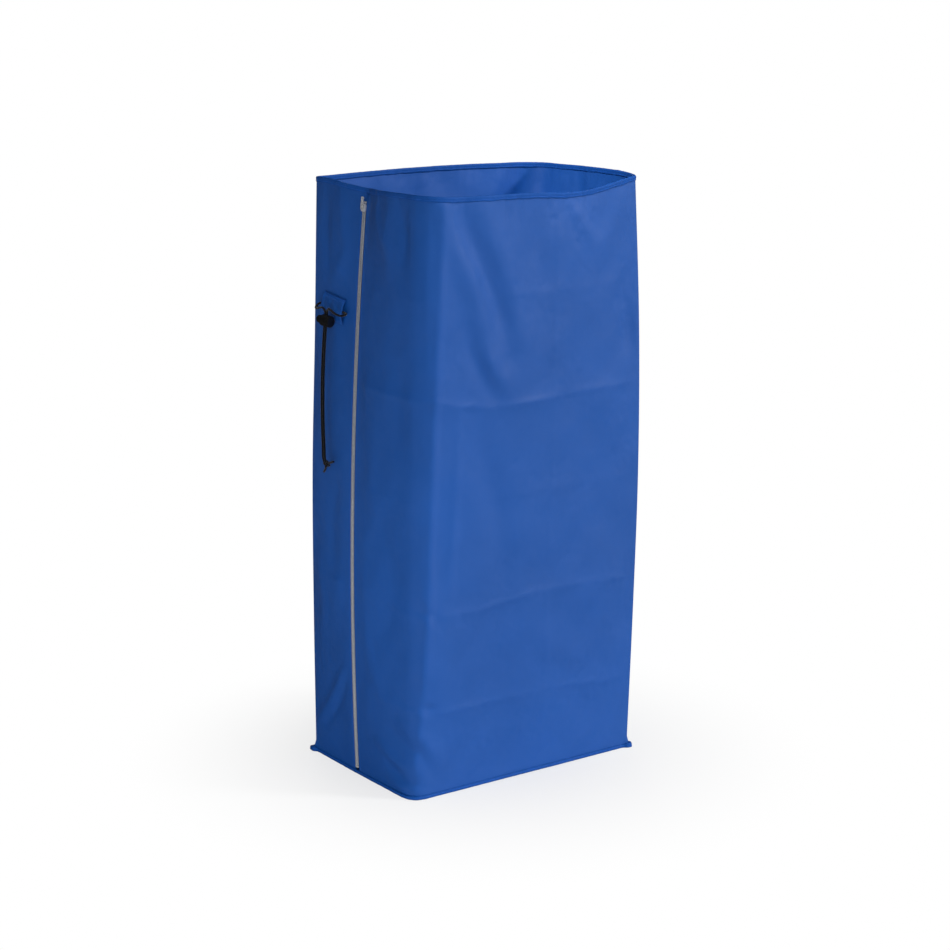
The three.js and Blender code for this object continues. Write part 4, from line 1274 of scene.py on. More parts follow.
def mouth_section(s, cloth_gap=0.35):
    """A strip folded over the mouth, drawn in by its stitches, with its ends lapped."""
    total = s[-1] + (s[1] - s[0])
    ripple = 0.16 * waves(s, 0 * s, 9, 71) + 0.22 * waves(s, 0 * s, 26, 72)
    lap = smooth(-9, -7.5, s - BINDING_JOIN * total) - smooth(7.5, 9, s - BINDING_JOIN * total)
    outer, inner = cloth_gap, -CLOTH_LAYER - cloth_gap
    thick = HEM_CLOTH
    foot = -HEM_HEIGHT
    corners = [
        (outer, foot, 0.1), (outer + thick, foot, 0.3), (outer + thick + 0.15, foot + 1.2, 0.7),
        (outer + thick - 0.1, foot + 2.4, 0.5), (outer + thick + 0.3, foot + 4.5, 0.9),
        (outer + thick + 0.35, foot + 6.3, 0.9), (outer + thick - 0.05, -0.55, 0.5),
        (outer - 0.1, 0.25, 0.2), (inner + 0.1, 0.25, -0.2), (inner - thick + 0.05, -0.55, -0.5),
        (inner - thick - 0.35, foot + 6.3, -0.9), (inner - thick - 0.3, foot + 4.5, -0.9),
        (inner - thick + 0.1, foot + 2.4, -0.5), (inner - thick - 0.15, foot + 1.2, -0.7),
        (inner - thick, foot, -0.3), (inner, foot, -0.1), (inner, -HEM_CLOTH, 0.0),
        (outer, -HEM_CLOTH, 0.0)]
    shape = np.empty((len(s), len(corners), 2))
    for column, (across, up, swell) in enumerate(corners):
        shape[:, column, 0] = across + swell * (ripple + 0.75 * lap)
        shape[:, column, 1] = up + (0.3 * ripple + 0.35 * lap) * (abs(swell) > 0.15) * (up > -1)
        shape[:, column, 1] += 0.35 * waves(s, 0 * s, 22, 73) * (up < foot + 1.5)
    return shape


class SACK_OT_mouth(bpy.types.Operator):
    """Fold and stitch the binding over the mouth"""

    bl_idname = "sack.mouth"
    bl_label = "Mouth binding"

    def execute(self, context):
        cloth = settings(context)[0]
        top = ring_round(WALL_TOP - 2.0, 2.5, cloth)
        top[:, 2] += 3.1
        out = ring_outward(top)
        made = strip_round("mouth_hem", top, mouth_section, "binding", out)
        finish_piece(made, "sack", "binding", "mouth_binding")
        seam = top - np.array([0, 0, HEM_HEIGHT - 2.3])
        outside, inside = (seam + out * across for across in (1.2, -CLOTH_LAYER - 1.2))
        closed = [np.vstack([line, line[:1]]) for line in (outside, inside)]
        rows = stitched("mouth_stitches", closed, cloth.stitch_pitch, seed=3)
        finish_piece(rows, "sack", "binding")
        return {"FINISHED"}


def base_rings(spacing):
    """Rings from the middle of the base out to its sewn edge."""
    line = np.concatenate([
        wall_row(panel, WALL_FOOT, np.linspace(0, 1, count))[0][:-1]
        for panel, count in (("rear", 40), ("front", 150), ("back", 180))])
    edge = even_line(np.vstack([line, line[:1]]), spacing)[:-1, :2]
    out = ring_outward(np.column_stack([edge, 0 * edge[:, 0]]))[:, :2]
    return edge - out * (CLOTH_LAYER + 0.1)


class SACK_OT_base(bpy.types.Operator):
    """Lay the flat base and bind its seam, pinched out at the two sewn corners"""

    bl_idname = "sack.base"
    bl_label = "Base and foot binding"

    def execute(self, context):
        cloth = settings(context)[0]
        edge = base_rings(5.0)
        shares = np.linspace(0, 1, 40)[1:] ** 0.9
        flat = edge[None] * shares[:, None, None]
        swell = 0.9 * waves(flat[..., 0], flat[..., 1], 110, 51) + 0.9
        cross = [np.exp(-np.abs(flat[..., axis]) / 4) for axis in (0, 1)]
        up = (0.75 + (swell + 1.2 * cross[0] + 1.0 * cross[1]) * smooth(1.0, 0.8, shares)[:, None])
        points = np.concatenate([flat, up[..., None]], -1)
        uv = np.concatenate([flat, flat[:, :1]], 1) * MM
        made = grid_mesh("base_cloth", points[:, :] * MM, uv, "coated_cloth", wrap_columns=True)
        close_middle(made, len(edge))
        thickened(made, cloth.thickness)
        finish_piece(made, "sack", "coated_cloth", "base_panel")

        foot = ring_round(8.0, 2.0, cloth, 1.2)
        foot[:, 2] = 0
        ear = np.zeros(len(foot))
        for name in ("rear", "side"):
            gap = np.hypot(*(foot[:, :2] - corner(name, 4)).T)
            ear = np.maximum(ear, np.exp(-(gap / 6.0) ** 2))

        def section(s):
            ripple = 0.18 * waves(s, 0 * s, 11, 81)
            corners = [(0.45, 0.1), (1.2, 0.0), (2.0, 0.5), (2.25, 1.7), (1.95, 3.0), (2.05, 4.6),
                       (1.5, 5.7), (0.8, 6.0), (0.4, 5.8), (0.35, 3.0)]
            shape = np.empty((len(s), len(corners), 2))
            for column, (across, up) in enumerate(corners):
                shape[:, column, 0] = across + ripple * (across > 1) + 4.4 * ear * (
                    1.0 if across > 1 else 0.45)
                shape[:, column, 1] = up * (1 + 0.35 * ear) + 0.5 * ripple * (up > 4)
            return shape

        out = ring_outward(foot)
        binding = strip_round("foot_hem", foot, section, "binding", out)
        finish_piece(binding, "sack", "binding", "foot_binding")
        seam = foot + out * (2.0 + 4.4 * ear[:, None]) + np.array([0, 0, 3.6])
        rows = stitched("foot_stitches", [np.vstack([seam, seam[:1]])], cloth.stitch_pitch, seed=4)
        finish_piece(rows, "sack", "binding")
        return {"FINISHED"}


def close_middle(piece, count):
    """Fills the small hole that a set of rings leaves in its middle."""
    work = bmesh.new()
    work.from_mesh(piece.data)
    work.verts.ensure_lookup_table()
    face = work.faces.new(list(reversed(work.verts[:count])))
    bmesh.ops.poke(work, faces=[face])
    bmesh.ops.recalc_face_normals(work, faces=work.faces)
    if sum(f.normal.z for f in work.faces) < 0:
        bmesh.ops.reverse_faces(work, faces=work.faces)
    for f in work.faces:
        f.smooth = True
    work.to_mesh(piece.data)
    work.free()


class SACK_OT_seams(bpy.types.Operator):
    """Bind the seam allowances inside the two sewn corners"""

    bl_idname = "sack.seams"
    bl_label = "Inner seam bindings"

    def execute(self, context):
        cloth = settings(context)[0]
        # How deep the tape starts inside the corner, where it is sewn, and how far it reaches.
        root, sewn, reach = 3.8, 7.4, 9
        for name, panel, mark in (("rear", "rear", 0), ("side", "front", 1)):
            heights = np.linspace(WALL_FOOT + 3.5, WALL_TOP - HEM_HEIGHT - 1.0, 230)
            lifts = mouth_rise(panel, mark, heights)
            ripple = 0.35 * waves(0 * heights, heights, 24, 61)
            lean = 1.3 * waves(0 * heights, heights, 160, 62)
            ring = [(root, -0.35), (4.6, -0.75), (sewn, -0.5), (9.8, -0.75), (12.2, -0.6),
                    (12.7, 0), (12.2, 0.6), (9.8, 0.75), (sewn, 0.5), (4.6, 0.75), (root, 0.35)]
            points = np.empty((len(heights), len(ring), 3))
            rows = []
            for row, z in enumerate(heights):
                inward = inward_at(name, z)
                across = np.array([-inward[1], inward[0]])
                here = corner(name, z)
                for column, (depth, half) in enumerate(ring):
                    share = (depth - root) / reach
                    swing = half + share * (ripple[row] + lean[row])
                    points[row, column] = [*(here + inward * depth + across * swing),
                                           z + lifts[row]]
                swing = (sewn - root) / reach * (ripple[row] + lean[row])
                rows.append([[*(here + inward * sewn + across * (swing + s * 0.6)), z + lifts[row]]
                             for s in (-1, 1)])
            length = np.arange(len(ring) + 1) * 2.0
            uv = np.stack(np.broadcast_arrays(length[None], heights[:, None]), -1) * MM
            made = grid_mesh(f"{name}_seam_tape", points * MM, uv, "binding", wrap_columns=True,
                             caps=True)
            tidy_normals(made)
            finish_piece(made, "sack", "binding", f"{name}_seam_binding")
            sides = np.array(rows)
            stitches = stitched(f"{name}_seam_stitches", [sides[:, 0], sides[:, 1]],
                                cloth.stitch_pitch, seed=7)
            finish_piece(stitches, "sack", "binding")
        return {"FINISHED"}


def tidy_normals(piece):
    """Turns every face outward."""
    work = bmesh.new()
    work.from_mesh(piece.data)
    bmesh.ops.recalc_face_normals(work, faces=work.faces)
    work.to_mesh(piece.data)
    work.free()
    return piece


# ---- Zip ---------------------------------------------------------------------------------------

TAPE_TOP = -CLOTH_LAYER - GAP - 0.3
COIL_BOTTOM = TAPE_TOP + GAP
COIL_HEIGHT = 2.2
COIL_TOP = COIL_BOTTOM + COIL_HEIGHT
COIL_HEAD = ZIP_HEAD - 3 - GAP
COIL_FOOT = ZIP_FOOT + 5
TAPE_WIDTH = 15.0
SLIDER_Z = COIL_HEAD - 6 - GAP
PLATE_LOW = COIL_TOP + 0.5
PLATE_TOP = PLATE_LOW + 1.4
PIN_HEIGHT = PLATE_TOP + 1.7


def zip_directions(z):
    tangent = unit(np.array([-(z - ZIP_CENTRE[1]) / (zip_x(z) - ZIP_CENTRE[0]), 0, 1.0]))
    return tangent, np.array([-tangent[2], 0, tangent[0]])


def axes_place(first, second, third, origin):
    """A matrix from millimetres along three axes at an origin to the row frame's metres."""
    turned_axes = np.column_stack([first, second, third, origin]) * MM
    return Matrix([*turned_axes.tolist(), [0, 0, 0, 1]])


def zip_place(z):
    """Across the zip towards the front, up along it, and out of the sack."""
    up, out = zip_directions(z)
    return axes_place(np.cross(up, out), up, out, (zip_x(z), ZIP_LINE, z))


def zip_line(across, depth, low, high, spacing):
    """A line beside the zip, across towards the front, at a depth off the wall's face."""
    points = []
    for z in np.linspace(low, high, int((high - low) / spacing) + 1):
        _, out = zip_directions(z)
        points.append(np.array([zip_x(z), ZIP_LINE - across, z]) + out * depth)
    return np.array(points)


def coil_turn(side, pitch):
    """One turn of the coil: a flattened loop with a rounded head, open towards its neighbour."""
    route = [(3.55, -0.15, 0.45), (1.0, -0.06, 0.4), (0.15, 0.0, 0.7), (-0.15, 0.0, 1.1),
             (0.15, 0.0, 1.55), (1.0, 0.06, 1.8), (3.4, 0.2, 1.75), (3.75, 0.55, 1.1),
             (3.55, 0.85, 0.45)]
    points = [(side * across, along * pitch / MM, up - 1.1) for across, along, up in route]
    thick = np.array([0.3, 0.34, 0.4, 0.42, 0.4, 0.36, 0.32, 0.3, 0.3])
    return tube("coil turn", np.array(points), thick, 6, "zip_coil")


def stop_outline(half_across, half_along, cut):
    return [(-half_across, -half_along + cut), (-half_across + cut, -half_along),
            (half_across - cut, -half_along), (half_across, -half_along + cut),
            (half_across, half_along - cut), (half_across - cut, half_along),
            (-half_across + cut, half_along), (-half_across, half_along - cut)]


class SACK_OT_zip(bpy.types.Operator):
    """Sew in the zip: tapes, both rows of the coil, its stops and the facing above it"""

    bl_idname = "sack.zip"
    bl_label = "Zip"

    def execute(self, context):
        cloth, zip_look, _, _ = settings(context)
        for word, side in (("front", 1), ("rear", -1)):
            across = np.array([0.4, 1.6, 2.8, 3.9, 4.4, 5.2, 6.4, 8.5, 11, 13.4, 14.4, TAPE_WIDTH])
            ribs = np.array([0, 0, 0, 0.1, 0.2, 0.05, 0.0, 0.0, 0.0, 0.0, 0.12, 0.05])
            lines = [zip_line(side * a, TAPE_TOP + rib, ZIP_FOOT, ZIP_HEAD, 4.0)
                     for a, rib in zip(across, ribs)]
            points = np.stack(lines[::side], 1)
            uv = np.stack(np.broadcast_arrays(
                across[::side][None], points[:, :1, 2]), -1) * MM
            tape = thickened(grid_mesh(f"zip_tape_{word}_cloth", points * MM, uv, "zip_tape"),
                             0.0005)
            finish_piece(tape, "sack", "zip_tape", f"zip_tape_{word}")
            turn = coil_turn(side, zip_look.pitch)
            start = COIL_FOOT + (0.5 if side > 0 else 0) * zip_look.pitch / MM
            row = zip_line(0, 0, start, COIL_HEAD - 1, 3.0) * MM
            coil = repeated(f"zip_teeth_{word}", [row], turn, zip_look.pitch, (MM, MM, MM),
                            "zip_coil", across=(0, -1, 0))
            bpy.data.objects.remove(turn)
            finish_piece(coil, "sack", "zip_coil", f"zip_coil_{word}")
            stop = prism(f"zip_head_stop_{word}", stop_outline(1.55, 1.3, 0.4), COIL_BOTTOM,
                         COIL_TOP, zip_place(ZIP_HEAD - 1.7) @ Matrix.Translation(
                             (side * 2.0, 0, 0)), "zip_metal")
            finish_piece(bevelled(stop, 0.0003), "sack", "zip_metal", f"zip_top_stop_{word}")
        foot = prism("zip_foot_stop", stop_outline(3.6, 1.95, 0.5), COIL_BOTTOM, COIL_TOP,
                     zip_place(ZIP_FOOT + 2.6), "zip_metal")
        finish_piece(bevelled(foot, 0.0004), "sack", "zip_metal", "zip_bottom_stop")
        self.facing()
        self.edge_rows(cloth)
        return {"FINISHED"}

    def facing(self):
        """The cloth that closes the slit between the zip's head and the mouth."""
        heights = np.linspace(ZIP_HEAD + 0.6, WALL_TOP - 0.4, 14)
        across = np.linspace(-5.3, 5.3, 12)
        lift = mouth_rise("rear", 1, heights)
        tuck = 0.9 + 1.6 * (1 - (across / 5.3) ** 2)[None] * smooth(
            ZIP_HEAD - 4, WALL_TOP, heights)[:, None]
        notch = zip_notch("front", np.abs(across)[None] + 0 * heights[:, None], heights[:, None])
        points = np.stack(np.broadcast_arrays(
            zip_x(heights)[:, None] + tuck + notch, ZIP_LINE - across[None],
            (heights + lift)[:, None]), -1)
        uv = np.stack(np.broadcast_arrays(across[None], heights[:, None]), -1) * MM
        made = thickened(grid_mesh("zip_head_cloth", points * MM, uv, "coated_cloth"), 0.0004)
        finish_piece(made, "sack", "coated_cloth", "zip_head_facing")

    def edge_rows(self, cloth):
        """The sewing beside the zip, in the groove that it pulls into the cloth."""
        rows = []
        for panel, end in (("front", 0), ("rear", -1)):
            heights = np.linspace(8, WALL_TOP - HEM_HEIGHT - 3, 232)
            points, out, _ = wall(panel, heights, column_places(panel, cloth.spacing), cloth)
            column = 3 if end == 0 else -4
            rows.append(points[:, column] + out[:, column] * 0.12)
        made = stitched("zip_stitches", rows, cloth.stitch_pitch, seed=5)
        finish_piece(made, "sack", "binding")


class SACK_OT_slider(bpy.types.Operator):
    """Make the zip's slider and hang the pull tab in its bridge"""

    bl_idname = "sack.slider"
    bl_label = "Slider and pull tab"

    def execute(self, context):
        place = zip_place(SLIDER_Z)
        right = [(3.6, -6.0), (4.5, -4.8), (4.95, -1.8), (5.25, 2.2), (5.3, 4.6), (4.6, 5.9),
                 (2.4, 6.0), (0.9, 5.5)]
        plate = prism("plate", right + [(-x, y) for x, y in reversed(right)],
                      PLATE_LOW, PLATE_TOP - 0.1, place, "zip_metal")
        flanges = []
        for sign in (1, -1):
            rim = [(4.3, -4.6), (4.75, -4.2), (4.95, -1.8), (5.22, 2.2), (5.26, 4.6), (4.3, 4.9)]
            rim = [(sign * x, y) for x, y in rim]
            flanges.append(prism("flange", rim, COIL_TOP - 1.0, PLATE_LOW + 0.2, place,
                                 "zip_metal"))
        top = PLATE_TOP + 3.4
        arch = [(-4.2, PLATE_TOP - 0.4), (-4.0, top - 1.7), (-3.0, top - 0.5), (-1.2, top),
                (1.2, top), (3.0, top - 0.5), (4.0, top - 1.7), (4.2, PLATE_TOP - 0.4),
                (3.0, PLATE_TOP - 0.4), (2.9, top - 1.9), (2.2, top - 0.95), (0, top - 0.8),
                (-2.2, top - 0.95), (-2.9, top - 1.9), (-3.0, PLATE_TOP - 0.4)]
        upright = place @ Matrix(((0, 0, 1, 0), (1, 0, 0, 0), (0, 1, 0, 0), (0, 0, 0, 1)))
        bridge = prism("bridge", arch, -1.45, 1.45, upright, "zip_metal")
        slider = combined("zip_slider_body", plate, [*flanges, bridge], "UNION", "zip_metal")
        finish_piece(bevelled(slider, 0.00022), "slider", "zip_metal", "zip_slider")

        half = [(3.1, -0.45), (3.5, 0.4), (3.5, 7.4), (2.95, 8.6), (2.85, 13.2), (3.3, 14.4),
                (3.2, 15.4), (2.4, 16.2), (1.2, 16.55)]
        blade = prism("blade", half + [(-x, y) for x, y in reversed(half)],
                      PIN_HEIGHT - 0.55, PIN_HEIGHT + 0.55, place, "zip_metal")
        window = [(2.0, 1.2), (2.0, 6.0), (1.3, 6.85), (-1.3, 6.85), (-2.0, 6.0), (-2.0, 1.2),
                  (-1.6, 0.45), (1.6, 0.45)]
        turn = np.linspace(0, 2 * math.pi, 17)[:-1]
        hole = [(1.15 * math.cos(a), 14.1 + 1.15 * math.sin(a)) for a in turn]
        recess = [(1.7, 9.0), (1.7, 11.6), (1.2, 12.1), (-1.2, 12.1), (-1.7, 11.6), (-1.7, 9.0),
                  (-1.2, 8.5), (1.2, 8.5)]
        cutters = [prism("window", window, PIN_HEIGHT - 2, PIN_HEIGHT + 2, place, "zip_metal"),
                   prism("hole", hole, PIN_HEIGHT - 2, PIN_HEIGHT + 2, place, "zip_metal"),
                   prism("dish", recess, PIN_HEIGHT + 0.35, PIN_HEIGHT + 2, place, "zip_metal"),
                   prism("dish", recess, PIN_HEIGHT - 2, PIN_HEIGHT - 0.35, place, "zip_metal")]
        tab = combined("zip_tab", blade, cutters, "DIFFERENCE", "zip_metal")
        finish_piece(bevelled(tab, 0.00018), "pull_tab", "zip_metal", "zip_pull_tab")
        return {"FINISHED"}


# ---- Keeper patch ------------------------------------------------------------------------------

PATCH_PLACE = (NARROW / 2 - 74, HEIGHT - 195)   # its middle, along Y and up
PATCH_SIZE = (58.0, 40.0)
PATCH_RISE = 5.4
PATCH_TURN = math.radians(8)


def rear_wall_x(y, z):
    line = panel_line("rear", z)[0]
    return float(np.interp(-y, -line[:, 1], line[:, 0]))


def patch_point(u, v, lift=0.0):
    """A place on the patch's outer face; u runs 0 to 1 towards the zip, v up."""
    across, up = (0.5 - u) * PATCH_SIZE[0], (v - 0.5) * PATCH_SIZE[1]
    y = PATCH_PLACE[0] + across * math.cos(PATCH_TURN) - up * math.sin(PATCH_TURN)
    z = PATCH_PLACE[1] + across * math.sin(PATCH_TURN) + up * math.cos(PATCH_TURN)
    inside = min(u, 1 - u) * PATCH_SIZE[0]
    border = min(v, 1 - v) * PATCH_SIZE[1]
    rise = PATCH_RISE * max(0.0, math.sin(math.pi * min(max(v, 0), 1))) ** 0.6
    hem = 0.55 * (1 - smooth(4.6, 5.6, min(inside, border)))
    crimp = 0.35 * math.sin(u * 21 + 3 * v) * math.sin(math.pi * v)
    spread = 0.5 * math.sin(math.pi * u) ** 2 * math.sin(math.pi * v)
    off = 0.5 + rise + 0.5 + hem + crimp - spread + lift
    return [rear_wall_x(y, z) - off, y, z]


class SACK_OT_patch(bpy.types.Operator):
    """Sew on the patch that keeps the cord"""

    bl_idname = "sack.patch"
    bl_label = "Keeper patch"

    def execute(self, context):
        us, vs = np.linspace(0, 1, 49), np.linspace(0, 1, 37)
        points = np.array([[patch_point(u, v) for u in us] for v in vs])
        uv = np.stack(np.broadcast_arrays(us[None] * PATCH_SIZE[0], vs[:, None] * PATCH_SIZE[1]),
                      -1) * MM
        made = thickened(grid_mesh("keeper_patch_cloth", points * MM, uv, "coated_cloth"), 0.0006)
        finish_piece(made, "sack", "coated_cloth", "cord_keeper_patch")
        rows = []
        for v in (0.045, 0.115, 0.885, 0.955):
            rows.append([patch_point(u, v, 0.12) for u in np.linspace(0.03, 0.97, 60)])
        for u in (0.03, 0.075, 0.925, 0.97):
            for low in (0.03, 0.83):
                rows.append([patch_point(u, v, 0.14) for v in np.linspace(low, low + 0.14, 10)])
        for u in (0.035, 0.965):
            rows.append([patch_point(u, v, 0.12) for v in np.linspace(0.17, 0.83, 40)])
        stitches = stitched("patch_stitches", rows, 0.0026, seed=6)
        finish_piece(stitches, "sack", "binding")
        return {"FINISHED"}


# ---- Tie cord ----------------------------------------------------------------------------------

BRAID_STRANDS = 6
BRAID_LAY = 0.009
LEFT_LENGTH = 0.299    # from the patch to the knot, along the strand
RIGHT_LENGTH = 0.294
KNOT_MIDDLE = (-21.6, -4.4, -246)
# Points from the wall behind the patch, in millimetres, as the frame has them.
LEFT_STRAND = [
    (-2.1, 30.2, 4.2), (-2.8, 34.2, 4.2), (-6.6, 37.6, 1.9),
    (-11.4, 36.6, -1.6), (-15.4, 29.6, -2.8), (-17.8, 20, -1.2),
    (-18.6, 11, 0.8), (-18.7, 4.8, 1.2), (-18.6, 0.6, -1.2),
    (-18.1, -1.65, -5.89), (-18.58, -0.63, -15.84), (-19.58, 1.31, -37.77),
    (-20.83, 3.26, -67.72), (-21.93, 4.41, -97.72), (-22.9, 4.74, -127.75),
    (-23.72, 4.27, -157.77), (-24.4, 3, -187.78), (-24.93, 0.91, -217.75),
    (-25.22, -1.02, -238.69),
]
RIGHT_STRAND = [
    (-0.8, -32.2, -4.5), (-1.8, -36.2, -4.8), (-5.8, -39.4, -5.8),
    (-11.8, -38.8, -6.8), (-15.8, -33, -5.8), (-17.6, -24.6, -2.8),
    (-18.2, -17, 0.4), (-18.2, -11.4, 1), (-18, -7.6, -1.4),
    (-17.39, -5.76, -6.37), (-17.86, -4.74, -16.28), (-18.86, -2.81, -38.12),
    (-20.11, -0.87, -67.96), (-21.21, 0.27, -97.85), (-22.17, 0.61, -127.76),
    (-22.99, 0.14, -157.67), (-23.66, -1.13, -187.57), (-24.2, -3.21, -217.42),
    (-24.49, -5.14, -238.28),
]
BEHIND_PATCH = [(-0.8, -31.6, -4.4), (-2.2, -17, -2.4), (-2.6, 17, 2.4), (-2.1, 29.6, 4.1)]
LEFT_END = [(-21.6, -2.2, -249.4), (-21, -0.6, -252.4), (-20.6, 2.4, -256.4), (-20, 6.6, -260.6)]
RIGHT_END = [(-21.4, -8.6, -244.6), (-21.2, -11.6, -242.8), (-20.8, -17.6, -240.4),
             (-20.2, -23.4, -238.4)]


def anchor():
    """The wall behind the middle of the patch, from where the frame has the knot."""
    low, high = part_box("tie_knot")
    return np.array((low + high) / 2) / MM - np.array(KNOT_MIDDLE)


def braid_relief(length, turn):
    """Raised strands of the braid, in metres."""
    left = np.sin(math.pi * BRAID_STRANDS * (turn + length / BRAID_LAY))
    right = np.sin(math.pi * BRAID_STRANDS * (turn - length / BRAID_LAY))
    return 0.00030 * np.sqrt(np.abs(left * right)) - 0.00020


def braid(name, points, diameter, taper=False):
    path = curve_through(np.asarray(points) + anchor(), 0.4) * MM
    radius = np.full(len(path), diameter / 2)
    if taper:
        radius[-4:] *= (1.03, 1.0, 0.9, 0.7)
    return tube(name, path, radius, 24, "cord", braid_relief), path


class SACK_OT_cord(bpy.types.Operator):
    """Lay the tie cord: behind the patch, down through the lock and into its knot"""

    bl_idname = "sack.cord"
    bl_label = "Tie cord"

    def execute(self, context):
        diameter = settings(context)[2].diameter
        knot = self.knot(diameter)
        for side, points in (("left", LEFT_END), ("right", RIGHT_END)):
            end, _ = braid(f"cord_tip_{side}", points, diameter, taper=True)
            finish_piece(end, "sack", "cord", f"cord_end_{side}")
        behind, _ = braid("cord_behind_patch", BEHIND_PATCH, diameter)
        finish_piece(behind, "sack", "cord", "tie_cord_behind_patch")
        into_knot = {"left": (-23.4, -2.6, -243.4), "right": (-22.8, -5.6, -243.2)}
        for side, points, length in (("left", LEFT_STRAND, LEFT_LENGTH),
                                     ("right", RIGHT_STRAND, RIGHT_LENGTH)):
            strand, path = braid(f"cord_strand_{side}", [*points, into_knot[side]], diameter)
            finish_piece(strand, "sack", "cord", f"tie_cord_{side}")
        return {"FINISHED"}

    def knot(self, diameter):
        """Both strands taken once round and through, as a drawn-up overhand knot."""
        t = np.linspace(0, 2 * math.pi, 150, endpoint=False)
        loops = np.stack([-0.95 * np.sin(3 * t), np.sin(t) + 2 * np.sin(2 * t),
                          np.cos(t) - 2 * np.cos(2 * t)], 1) * (2.5, 1.75, 1.6)
        centre = anchor() + np.array(KNOT_MIDDLE)
        lean = np.array(Matrix.Rotation(math.radians(24), 3, "X"))
        path = even_line(np.vstack([loops, loops[:1]]) @ lean.T + centre, 0.4)[:-1] * MM
        made = tube("knot_of_strands", path, diameter * 0.47, 24, "cord", braid_relief, closed=True)
        return finish_piece(made, "sack", "cord", "tie_knot")


# ---- Cord lock ---------------------------------------------------------------------------------

BARREL_END = 5.5
BARREL_START = -13.5
BORE_FLOOR = -12.0
BARREL_RADIUS = 9.2
BORE_RADIUS = 6.4
BUTTON_RADIUS = 6.1
SLOT = (-4.8, 3.8)
SLOT_HALF = 2.2
BUTTON_TRAVEL = 3.5


def lock_axes():
    """Towards the button, down the strands and out of the sack, with the lock's own origin."""
    towards = -np.array(JOINTS["lock_button_press"]["axis"], float)
    out = np.array(JOINTS["cord_lock_travel"]["axis"], float)
    down = unit(np.cross(out, towards))
    points = node_points("cord_lock_barrel") / MM
    reach = [points @ axis for axis in (towards, down, out)]
    middle = [(values.max() + values.min()) / 2 for values in reach]
    origin = towards * (reach[0].max() - BARREL_END) + down * middle[1] + out * middle[2]
    return towards, down, out, origin


def slot_cutter(low, high, place):
    turn = np.linspace(-math.pi / 2, math.pi / 2, 9)
    right = [(high - SLOT_HALF + SLOT_HALF * math.cos(a), SLOT_HALF * math.sin(a)) for a in turn]
    left = [(low + SLOT_HALF - SLOT_HALF * math.cos(a), -SLOT_HALF * math.sin(a)) for a in turn]
    return prism("slot", right + left, -20, 20, place, "lock_plastic")


class SACK_OT_lock(bpy.types.Operator):
    """Mould the cord lock: barrel, sprung button and spring"""

    bl_idname = "sack.lock"
    bl_label = "Cord lock"

    def execute(self, context):
        towards, down, out, origin = lock_axes()
        place = axes_place(towards, down, out, origin)
        across = axes_place(towards, out, down, origin)
        rings = []
        for middle in (-10.6, -9.2, -7.8):
            rings += [(middle - 0.35, BARREL_RADIUS), (middle - 0.2, BARREL_RADIUS - 0.35),
                      (middle + 0.2, BARREL_RADIUS - 0.35), (middle + 0.35, BARREL_RADIUS)]
        profile = [(BARREL_START, 0), (BARREL_START, BARREL_RADIUS - 1.8),
                   (BARREL_START + 1.6, BARREL_RADIUS), *rings, (2.6, BARREL_RADIUS),
                   (2.8, BARREL_RADIUS - 0.3), (3.4, BARREL_RADIUS - 0.3), (3.6, BARREL_RADIUS),
                   (BARREL_END - 0.6, BARREL_RADIUS), (BARREL_END, BARREL_RADIUS - 0.8),
                   (BARREL_END, BORE_RADIUS + 0.5), (BARREL_END - 0.5, BORE_RADIUS),
                   (BORE_FLOOR, BORE_RADIUS), (BORE_FLOOR, 0)]
        shell = turned("barrel", rounded_profile(profile, 0.4, 3), 56, place, "lock_plastic")
        barrel = combined("lock_barrel", shell, [slot_cutter(*SLOT, across)], "DIFFERENCE",
                          "lock_plastic")
        finish_piece(smooth_by_angle(barrel), "cord_lock", "lock_plastic", "cord_lock_barrel")

        end = BARREL_END + 11
        inner = SLOT[0] - 1
        grips = []
        for middle in (9.0, 10.7, 12.4):
            grips += [(middle - 0.5, BUTTON_RADIUS), (middle - 0.25, BUTTON_RADIUS - 0.4),
                      (middle + 0.25, BUTTON_RADIUS - 0.4), (middle + 0.5, BUTTON_RADIUS)]
        profile = [(inner, 0), (inner, BUTTON_RADIUS), *grips, (end - 2.2, BUTTON_RADIUS),
                   (end - 0.7, BUTTON_RADIUS - 1.0), (end, BUTTON_RADIUS - 2.6),
                   (end - 0.15, BUTTON_RADIUS - 3.2), (end - 0.5, 1.2), (end - 0.6, 0)]
        stem = turned("button", rounded_profile(profile, 0.4, 3), 48, place, "lock_plastic")
        cutter = slot_cutter(SLOT[0], SLOT[1] + BUTTON_TRAVEL, across)
        button = combined("lock_plunger", stem, [cutter], "DIFFERENCE", "lock_plastic")
        finish_piece(smooth_by_angle(button), "lock_button", "lock_plastic", "cord_lock_button")

        wire, turns = 0.6, 1.5
        length = inner - BUTTON_TRAVEL - BORE_FLOOR - 2 * GAP - wire
        t = np.linspace(0, 1, 90)
        angle = 2 * math.pi * turns * t
        coil = np.stack([BORE_FLOOR + GAP + wire / 2 + length * t, 4.5 * np.cos(angle),
                         4.5 * np.sin(angle)], 1)
        turned_axes = np.array([towards, down, out])
        path = (coil @ turned_axes + origin) * MM
        spring = tube("lock_spring_wire", path, wire / 2 * MM, 10, "spring_steel")
        finish_piece(spring, "cord_lock", "spring_steel", "cord_lock_spring")
        return {"FINISHED"}


def smooth_by_angle(piece, angle=32):
    """Sharp edges stay sharp, the rest is shaded smooth."""
    piece.data.polygons.foreach_set("use_smooth", [True] * len(piece.data.polygons))
    piece.data.set_sharp_from_angle(angle=math.radians(angle))
    return bevelled(piece, 0.00018, 2, 40)


# ---- Stage -------------------------------------------------------------------------------------

AIM = (-0.052, -0.082, 0.486)


